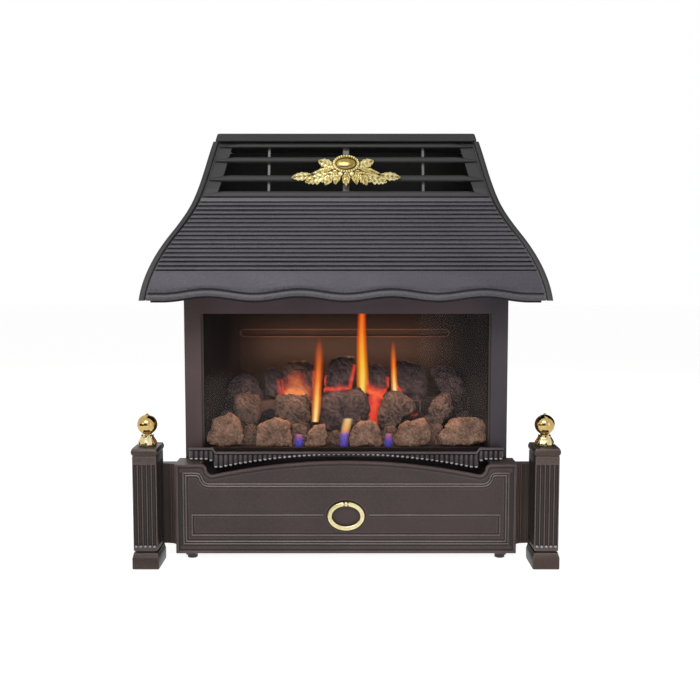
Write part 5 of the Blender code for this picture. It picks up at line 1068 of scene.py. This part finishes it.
MEDAL_Z = 0.0115
band = []
for t in angles(72):
    band.append([on_badge((0.0178 + a) * math.cos(t), MEDAL_Z + (0.0113 + a) * math.sin(t), b + 0.0024)
                 for a, b in ((-0.0026, -0.0028), (-0.0026, 0.003), (-0.0014, 0.0042), (0.0, 0.0034),
                              (0.002, 0.003), (0.0026, 0.0018), (0.0026, -0.0028))])
dome = [[on_badge(x, z, -0.0004) for x, z in oval(0, MEDAL_Z, 0.0158, 0.0093, 64)]]
for k in range(15):
    turn = math.pi / 2 * k / 15
    edge = oval(0, MEDAL_Z, 0.0158 * math.cos(turn), 0.0093 * math.cos(turn), 64)
    dome.append([on_badge(x, z, 0.0032 + 0.0048 * math.sin(turn)) for x, z in edge])
medallion = bare("medallion", together([skin(band, closed=True), skin(dome)]))
fitted(medallion, dome_brass, node="badge_medallion", sharp=40)
bead = bare("bead", turned([(0, -0.0017), (0.001, -0.0014), (0.0017, -0.0005), (0.00185, 0.0003),
                            (0.0015, 0.0012), (0.0008, 0.0017), (0, 0.0019)], 14))
places = [on_badge(x, z, 0.0058) for x, z in oval(0, MEDAL_Z, 0.0184, 0.0119, 29)]
repeated("medallion_beads", places, bead, (math.pi / 2, 0, 0), spray_brass, spread=0.12)
bpy.data.objects.remove(bead, do_unlink=True)

# Grate: a thin casting behind the fret. Its face is upright half-round ribs that end in rounded
# tips, under a plain border, with a step up at each end.
# The grate's paint carries painted shade in its corners and a painted highlight along its edges.
casting = finish("casting", (0.075, 0.062, 0.068), (0.16, 0.135, 0.145), 0.0012, 0.00011, 0.42,
                 painted_shading=(0.004, 0.25, 1.6))
# A light grey for the rounded tips of the grate's ribs and for the drops at the posts' flutes: a painted
# highlight where they catch the light.
tip_highlight_paint = finish("tip_highlight_paint", (0.42, 0.41, 0.43), (0.7, 0.68, 0.71), 0.0012, 0.00005, 0.28)
GRATE_RIBS, GRATE_HALF, GRATE_LEDGE = 64, 0.2425, 0.1473
rib_pitch = 2 * GRATE_HALF / GRATE_RIBS


def grate_top(x):
    """Height of the grate's upper edge, with a step up at each end."""
    return 0.1664 - 0.0064 * min(max((0.206 - abs(x)) / 0.0045, 0), 1)


def grate_foot(x):
    """Height of the lower tip of the rib at X, arched like the fret's top between level ends."""
    if abs(x) >= 0.21:
        return GRATE_LEDGE
    if abs(x) >= 0.2:
        return GRATE_LEDGE - 0.0138 * (0.21 - abs(x)) / 0.01
    return 0.1545 - 0.021 * (x / 0.2) ** 2


rib_places = [-GRATE_HALF + rib_pitch * (i + 0.5) for i in range(GRATE_RIBS)]
rings = []
for i in range(GRATE_RIBS * 10 + 1):
    x = -GRATE_HALF + rib_pitch * i / 10
    share = (i % 10) / 10
    bulge = math.sin(math.pi * share) ** 0.7 if share else 0.0
    high = grate_top(x)
    low = GRATE_LEDGE if abs(x) > 0.2099 else grate_foot(rib_places[i // 10])
    tip = low + 0.0026 * (1 - bulge)
    under = high - 0.0034
    face = -0.0606 - 0.0044 * bulge
    profile = ((-0.0592, tip), (-0.0604, tip), (face + 0.0016 * bulge, tip + 0.0002), (face, tip + 0.0016),
               (face, under - 0.0012), (-0.06, under), (-0.0652, under + 0.0002), (-0.0659, under + 0.001),
               (-0.0657, high - 0.0004), (-0.065, high), (-0.0592, high))
    rings.append(placed(profile, "X", x))
fitted(bare("ribbed_grate", skin(rings)), casting, node="grate", sharp=50)
tip = bare("tip", turned([(0, -0.0017), (0.001, -0.0015), (0.002, -0.0008), (0.0026, 0.0002),
                          (0.0022, 0.0012), (0.0011, 0.0018), (0, 0.002)], 16))
places = [(x, -0.0634, grate_foot(x) + 0.0021) for x in rib_places]
repeated("grate_tips", places, tip, (0, 0, 0), tip_highlight_paint, node="grate")
bpy.data.objects.remove(tip, do_unlink=True)

# Fret: the loose front casting, a flat plate with a raised rim, a double bead, a panel bead
# and an oval dish for the ring, standing on two feet behind its lower edge.


def inset(outline, distance):
    """The outline moved inwards, each corner along its mitre."""
    moved = []
    size = len(outline)
    for i in range(size):
        before, here, after = (Vector(outline[(i + k) % size]) for k in (-1, 0, 1))
        first = (here - before).normalized()
        second = (after - here).normalized()
        normal = Vector((-first.y - second.y, first.x + second.x))
        normal = normal.normalized() if normal.length > 1e-6 else Vector((-first.y, first.x))
        share = max(normal.dot(Vector((-second.y, second.x))), 0.35)
        moved.append(tuple(here + normal * (distance / share)))
    return moved


def moulding(outline, profile):
    """A moulded band inside an outline. The profile is (distance in, how far it stands out)."""
    section = [*[(distance, face - out) for distance, out in profile], (profile[-1][0], buried),
               (profile[0][0], buried)]
    return skin([placed(inset(outline, distance), "Y", y) for distance, y in section], closed=True)


def fret_edge(half, shoulder, toe, low, corner, dip, crown):
    """An outline with level ears, shoulders of two arcs and an arch, anticlockwise."""
    run, drop = shoulder - toe, corner - dip
    radius = (run * run + drop * drop) / (4 * drop)
    sweep = 2 * math.atan(drop / run)
    right = [(half, corner), (half - (half - shoulder) / 2, corner)]
    for i in range(13):
        turn = sweep * i / 12
        right.append((shoulder - radius * math.sin(turn), corner - radius * (1 - math.cos(turn))))
    for i in range(11, -1, -1):
        turn = sweep * i / 12
        right.append((toe + radius * math.sin(turn), dip + radius * (1 - math.cos(turn))))
    steps = 48 if crown else 2
    over = [(toe * math.cos(math.pi * i / steps), dip + crown * math.sin(math.pi * i / steps) ** 2)
            for i in range(1, steps)]
    return [(-half, low), (0, low), (half, low), *right, *over, *[(-x, z) for x, z in reversed(right)]]


face, rear = -0.094, -0.0885
buried = rear - 0.001
fret_paint = finish("fret_paint", (0.031, 0.0225, 0.021), (0.064, 0.047, 0.044), 0.0011, 0.00013, 0.42,
                    painted_shading=(0.006, 0.1, 2.6), speckle=0.9)
# Painted light across the mouldings: the bead crests lighter as a painted highlight, and their feet dark as
# painted shade. The paint also carries painted shade in corners and a painted highlight on edges.
paint_light_along(fret_paint, "Y", ((face - 0.0029, (1.25, 1.12, 1.1)), (face - 0.0025, (1.55, 1.7, 1.7)),
                        (face - 0.0014, (1.6, 1.75, 1.75)), (face - 0.001, 0.8), (face - 0.0006, 0.15),
                        (face - 0.0002, 0.15), (face - 0.00006, (0.97, 0.86, 0.85))))
edge = fret_edge(0.2585, 0.2203, 0.202, 0.01, 0.147, 0.1305, 0.0212)
panel = bare("fret_plate", plate(edge, face, rear))
carve(panel, [plate(oval(0, 0.068, 0.03, 0.024, 72), face - 0.01, face + 0.0026)])
bead_edge = fret_edge(0.2478, 0.227, 0.207, 0.0235, 0.135, 0.1185, 0)
round_bead = ((0.0, -0.0008), (0.0001, 0.0012), (0.0005, 0.002), (0.0014, 0.0024), (0.0023, 0.002),
              (0.0026, 0.0004), (0.0037, 0.0004), (0.0039, 0.0017), (0.005, 0.0023), (0.0061, 0.0017),
              (0.0063, 0.0003), (0.0083, 0.0003), (0.0084, -0.0008))
rim = ((0.0001, -0.0008), (0.0001, 0.002), (0.0009, 0.0029), (0.0028, 0.003), (0.0038, 0.0022),
       (0.0043, 0.0012), (0.0045, 0.0003), (0.0066, 0.0003), (0.0067, -0.0008))
field_bead = ((0.0, -0.0008), (0.0001, 0.0012), (0.0005, 0.002), (0.0013, 0.0024), (0.0021, 0.002),
              (0.0024, 0.0003), (0.0043, 0.0003), (0.0044, -0.0008))
field_edge = [(-0.235, 0.037), (0, 0.037), (0.235, 0.037), (0.235, 0.0705), (0, 0.0705), (-0.235, 0.0705)]
# The panel's bead stops short of the sunk oval round the ring.
field = bare("field", moulding(field_edge, field_bead))
carve(field, [plate(oval(0, 0.068, 0.035, 0.0262, 72), face - 0.01, face + 0.01)])
# Thin strips standing 0.3 mm proud inside the rim, at the sides and along the foot, fall in the paint's dark
# band: painted shade standing for a sunk groove.
shapes = [moulding(edge, rim), moulding(bead_edge, round_bead),
          slab((-0.2465, 0.2465), (face - 0.0003, buried), (0.0206, 0.0228))]
for side in (-1, 1):
    x = side * 0.2508
    shapes.append(slab((x - 0.0021, x + 0.0021), (face - 0.00035, buried), (0.0206, 0.1345)))
    x = side * 0.236
    shapes.append(slab((x - 0.0078, x + 0.0078), (face + 0.001, -0.079), (0.0072, 0.016)))
    shapes.append(round_bar("Z", x, -0.079, 32, ((0.0, 0.0068), (0.0008, 0.0078), (0.015, 0.0078))))
for obj in (panel, field):
    shape = bmesh.new()
    shape.from_mesh(obj.data)
    shapes.append(shape)
    bpy.data.objects.remove(obj, do_unlink=True)
fitted(bare("fret_casting", together(shapes)), fret_paint, "fret", "fret_panel", sharp=30)

# Ring pull: an oval brass band hung on a pin, with a small brass boss on the fret that holds it.
# Ring and boss are cast and polished bright.
ring_brass = brass_finish("ring_brass", (0.66, 0.55, 0.26), (0.92, 0.84, 0.54), 0.003, 0.34)
PIN_Y, PIN_Z, RING_Z = -0.0977, 0.0868, 0.068
RING_HALF, RING_TALL = 0.028, 0.022
gap_half = math.asin((0.0035 + 0.0012) / RING_HALF)
rings = []
for i in range(81):
    turn = math.pi / 2 + gap_half + (2 * math.pi - 2 * gap_half) * i / 80
    out = Vector((math.cos(turn) / RING_HALF, math.sin(turn) / RING_TALL)).normalized()
    middle = Vector((0.0248 * math.cos(turn), RING_Z + 0.0188 * math.sin(turn)))
    ring = []
    for a in angles(16):
        spot = middle + out * (0.0033 * math.copysign(abs(math.cos(a)) ** 0.6, math.cos(a)))
        deep = 0.0017 * math.copysign(abs(math.sin(a)) ** 0.6, math.sin(a))
        ring.append((spot.x, PIN_Y + deep, spot.y))
    rings.append(ring)
pin = round_bar("X", PIN_Y, PIN_Z, 20, ((-0.0069, 0.0011), (-0.0066, 0.0015), (0.0066, 0.0015),
                                        (0.0069, 0.0011)))
ring = bare("ring", together([skin(rings), pin]))
fitted(ring, ring_brass, "ring", "ring_pull", sharp=50)
boss = bare("boss", skin([placed(oval(0, PIN_Z, 0.0035 + grow, 0.004 + grow, 32), "Y", y) for y, grow in (
    (-0.0934, 0.0), (-0.0985, 0.0), (-0.1004, -0.0008), (-0.1011, -0.0018))]))
carve(boss, [round_bar("X", PIN_Y, PIN_Z, 20, ((-0.006, 0.0019), (0.006, 0.0019)))])
fitted(boss, ring_brass, "fret", "ring_boss", sharp=40)

# Posts: square iron castings, hollow at the back, with five flutes up the front, a plinth, a
# neck and a separate moulded cap. Each carries a pierced brass foot and a turned brass ball.
POST_WIDTH, POST_DEPTH = 0.0394, 0.06
FLUTE_PITCH = 0.0068
post_paint = finish("post_paint", (0.036, 0.025, 0.022), (0.074, 0.052, 0.045), 0.0016, 0.00016, 0.42,
                    painted_shading=(0.006, 0.1, 2.2), speckle=0.9)
# Painted light on the posts: the front face lighter as a painted highlight, and darker going back into the
# flutes and round the sides as painted shade. The paint also carries painted shade in corners and a painted
# highlight on edges.
paint_light_along(post_paint, "Y", ((-0.144, (0.9, 0.76, 0.64)), (-0.1434, 1.75), (-0.1428, 1.5), (-0.142, 0.62),
                        (-0.1405, 0.26)))
ball_brass = brass_finish("ball_brass", (0.46, 0.31, 0.11), (0.66, 0.48, 0.19), 0.006, 0.1)
foot_brass = brass_finish("foot_brass", (0.5, 0.38, 0.18), (0.8, 0.67, 0.38), 0.004, 0.22)


def oblong(centre, z, inwards, radius, steps=4):
    """The post's plan at height z, drawn inwards, with rounded corners."""
    points = []
    for corner, (mx, my) in enumerate(((1, 1), (-1, 1), (-1, -1), (1, -1))):
        for i in range(steps + 1):
            turn = math.pi / 2 * (corner + i / steps)
            points.append((centre[0] + mx * (POST_WIDTH / 2 - inwards - radius) + radius * math.cos(turn),
                           centre[1] + my * (POST_DEPTH / 2 - inwards - radius) + radius * math.sin(turn), z))
    return points


for side, label in ((-1, "left"), (1, "right")):
    px, py = side * 0.2953, -0.115
    front = py - 0.0282
    levels = ((0.0, 0.0007, 0.0012), (0.0008, 0, 0.0012), (0.0172, 0, 0.0012), (0.018, 0.0004, 0.0012),
              (0.0245, 0.0021, 0.001), (0.0245, 0.0049, 0.001), (0.0275, 0.0049, 0.001),
              (0.0275, 0.0023, 0.001), (0.0282, 0.0019, 0.0012), (0.168, 0.0019, 0.0012),
              (0.1692, 0.0029, 0.0012))
    post = bare(f"post_{label}_casting", skin([oblong((px, py), *level) for level in levels]))
    flutes = [px + (i - 2) * FLUTE_PITCH for i in range(5)]
    tools = []
    for x in flutes:
        tools.append(skin([placed(oval(x, front, 0.0027 * size, 0.0026 * size, 20), "Z", z) for z, size in (
            (0.0322, 0.1), (0.0326, 0.6), (0.0336, 0.9), (0.035, 1.0), (0.1535, 1.0), (0.155, 1.0),
            (0.156, 0.8), (0.1566, 0.1))]))
    tools.append(slab((px - 0.0128, px + 0.0128), (front + 0.005, py + 0.05), (0.0275, 0.164)))
    inner = px - side * 0.0178
    pocket = sorted((inner - side * 0.002, inner + side * 0.0012))
    for y, reach in ((py - 0.0105, 0.0105), (py + 0.0155, 0.0075)):
        tools.append(slab(pocket, (y - reach, y + reach), (0.034, 0.156)))
    carve(post, tools)
    fitted(post, post_paint, node=f"post_{label}", sharp=28)
    # Drops at the flutes' lower ends, in the light grey: painted highlights.
    drop = bare("drop", turned([(0, -0.0018), (0.0012, -0.0015), (0.0021, -0.0006), (0.0021, 0.0004),
                                (0.0012, 0.0014), (0, 0.0017)], 16))
    repeated(f"flute_drops_{label}", [(x, front + 0.0003, 0.034) for x in flutes], drop, (0, 0, 0),
             tip_highlight_paint, node=f"post_{label}")
    bpy.data.objects.remove(drop, do_unlink=True)
    levels = ((0.1695, 0.0024, 0.0015), (0.1702, 0.0016, 0.0018), (0.1716, 0.001, 0.002),
              (0.1732, 0.0003, 0.0022), (0.1748, 0.0002, 0.0024), (0.1764, 0.0004, 0.0024),
              (0.1778, 0.001, 0.0024), (0.1788, 0.0014, 0.0024), (0.1797, 0.0016, 0.0022),
              (0.18, 0.0023, 0.002))
    cap = bare(f"cap_{label}", skin([oblong((px, py), *level) for level in levels]))
    fitted(cap, post_paint, node=f"post_cap_{label}", sharp=28)

    # The foot is a ring of upright curled leaves round a stem, on a thin rim.
    shapes = [turned([(0.0122, 0.1803), (0.0138, 0.1808), (0.014, 0.1818), (0.013, 0.1828),
                      (0.0104, 0.1832), (0.0072, 0.185), (0.0056, 0.1875), (0.0052, 0.191),
                      (0.0062, 0.1935), (0.0066, 0.195), (0.0056, 0.1962)], 32)]
    for k in range(8):
        turn = 2 * math.pi * (k + 0.5) / 8
        outward = Vector((math.cos(turn), math.sin(turn), 0))
        along = Vector((-outward.y, outward.x, 0))
        rings = []
        for i in range(19):
            v = i / 18
            reach = 0.0094 + 0.0034 * math.cos(2.6 * v) + 0.0064 * max(v - 0.75, 0)
            high = 0.1822 + 0.0138 * v
            wide = 0.0043 * math.sin(math.pi * min(0.16 + 0.8 * v, 1)) ** 0.7 + 0.0004
            ring = []
            for a in angles(16):
                curl = reach + 0.0011 * math.cos(a) ** 2 + 0.001 * math.sin(a)
                spot = outward * curl + along * (wide * math.cos(a))
                ring.append((spot.x, spot.y, high + 0.0006 * math.sin(a)))
            rings.append(ring)
        shapes.append(skin(rings))
    foot = together(shapes)
    profile = [(0.0036, 0.1967)]
    for i in range(31):
        turn = 0.25 + (math.pi - 0.25 - 0.16) * i / 30
        profile.append((0.015 * math.sin(turn), 0.2114 - 0.015 * math.cos(turn)))
    profile += [(0.0021, 0.2265), (0.0022, 0.2272), (0.0016, 0.2279), (0.0008, 0.2282)]
    ball = turned(profile, 64)
    for name, shape, paint in (("foot", foot, foot_brass), ("ball", ball, ball_brass)):
        bmesh.ops.translate(shape, verts=shape.verts, vec=(px, py, 0))
        finial = bare(f"{name}_{label}", shape)
        fitted(finial, paint, node=f"finial_{name}_{label}", sharp=50)

# Wings: the castings that tie the posts to the case, with a hollow cove towards the fret and
# the ledge that the grate stands on. They carry the posts' paint.
# The wings' paint carries painted shade in its corners and a painted highlight along its edges.
wing_paint = finish("wing_paint", (0.032, 0.023, 0.019), (0.066, 0.047, 0.039), 0.0011, 0.00013, 0.42,
                    painted_shading=(0.006, 0.1, 2.2))
painted(wing_paint, "wing_left", "wing_right")
for side, label in ((-1, "left"), (1, "right")):
    reeds = []
    for turn in (0.62, 0.88, 1.14):
        x, y = side * (0.2766 - 0.0178 * math.sin(turn)), -0.094 + 0.008 * math.cos(turn)
        reeds.append(round_bar("Z", x, y, 12, ((0.0245, 0.0003), (0.0252, 0.0008), (0.1455, 0.0008),
                                               (0.1462, 0.0003))))
    fitted(bare(f"wing_{label}_reeds", together(reeds)), wing_paint, sharp=50)

# Controls behind the fret: a folded bracket carries the brass gas valve with its knob on a
# spring-loaded spindle, and the piezo igniter, from which a lead runs to the electrode.
zinc = finish("zinc", (0.3, 0.3, 0.31), (0.48, 0.48, 0.49), 0.0018, 0.00004, 0.38, 1.0)
fitting_brass = finish("fitting_brass", (0.45, 0.33, 0.14), (0.66, 0.5, 0.24), 0.0012, 0.00005, 0.34, 1.0)
black_nylon = finish("black_nylon", (0.012, 0.012, 0.013), (0.024, 0.024, 0.026), 0.0008, 0.00005, 0.38)
porcelain = finish("porcelain", (0.66, 0.64, 0.58), (0.8, 0.78, 0.73), 0.003, 0.00002, 0.22)
white_ink = finish("white_ink", (0.7, 0.7, 0.68), (0.82, 0.82, 0.8), 0.0006, 0.00002, 0.5)
painted(sheet_paint, "control_bracket")
painted(zinc, "tap_spindle", "tap_collar")
painted(fitting_brass, "gas_tap", "injector", "pilot_jet", "feed_pipe", "inlet_pipe")
painted(black_nylon, "igniter_body", "igniter_button", "ignition_lead")
painted(porcelain, "spark_electrode")
TAP_X, TAP_Z = 0.16, 0.062
rings = []
for y, radius, grip in ((-0.0731, 0.0118, 0), (-0.0736, 0.0126, 0), (-0.0742, 0.0127, 0.0005),
                        (-0.0835, 0.0134, 0.0005), (-0.0844, 0.013, 0), (-0.0849, 0.0118, 0)):
    edge = []
    for t in angles(192):
        reach = radius + grip * math.cos(24 * t)
        edge.append((TAP_X + reach * math.cos(t), TAP_Z + reach * math.sin(t)))
    rings.append(placed(edge, "Y", y))
knob = bare("knob", skin(rings))
carve(knob, [slab((0.1593, 0.1607), (-0.0855, -0.0845), (0.066, 0.0745)),
             round_bar("Y", TAP_X, TAP_Z, 32, ((-0.082, 0.0042), (-0.072, 0.0042)))])
fitted(knob, black_nylon, "tap_turn", "control_knob", sharp=35)
knob_mark = bare("knob_mark", slab((0.1594, 0.1606), (-0.08485, -0.0846), (0.0664, 0.0741)))
fitted(knob_mark, white_ink, "tap_turn")

low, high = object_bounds()
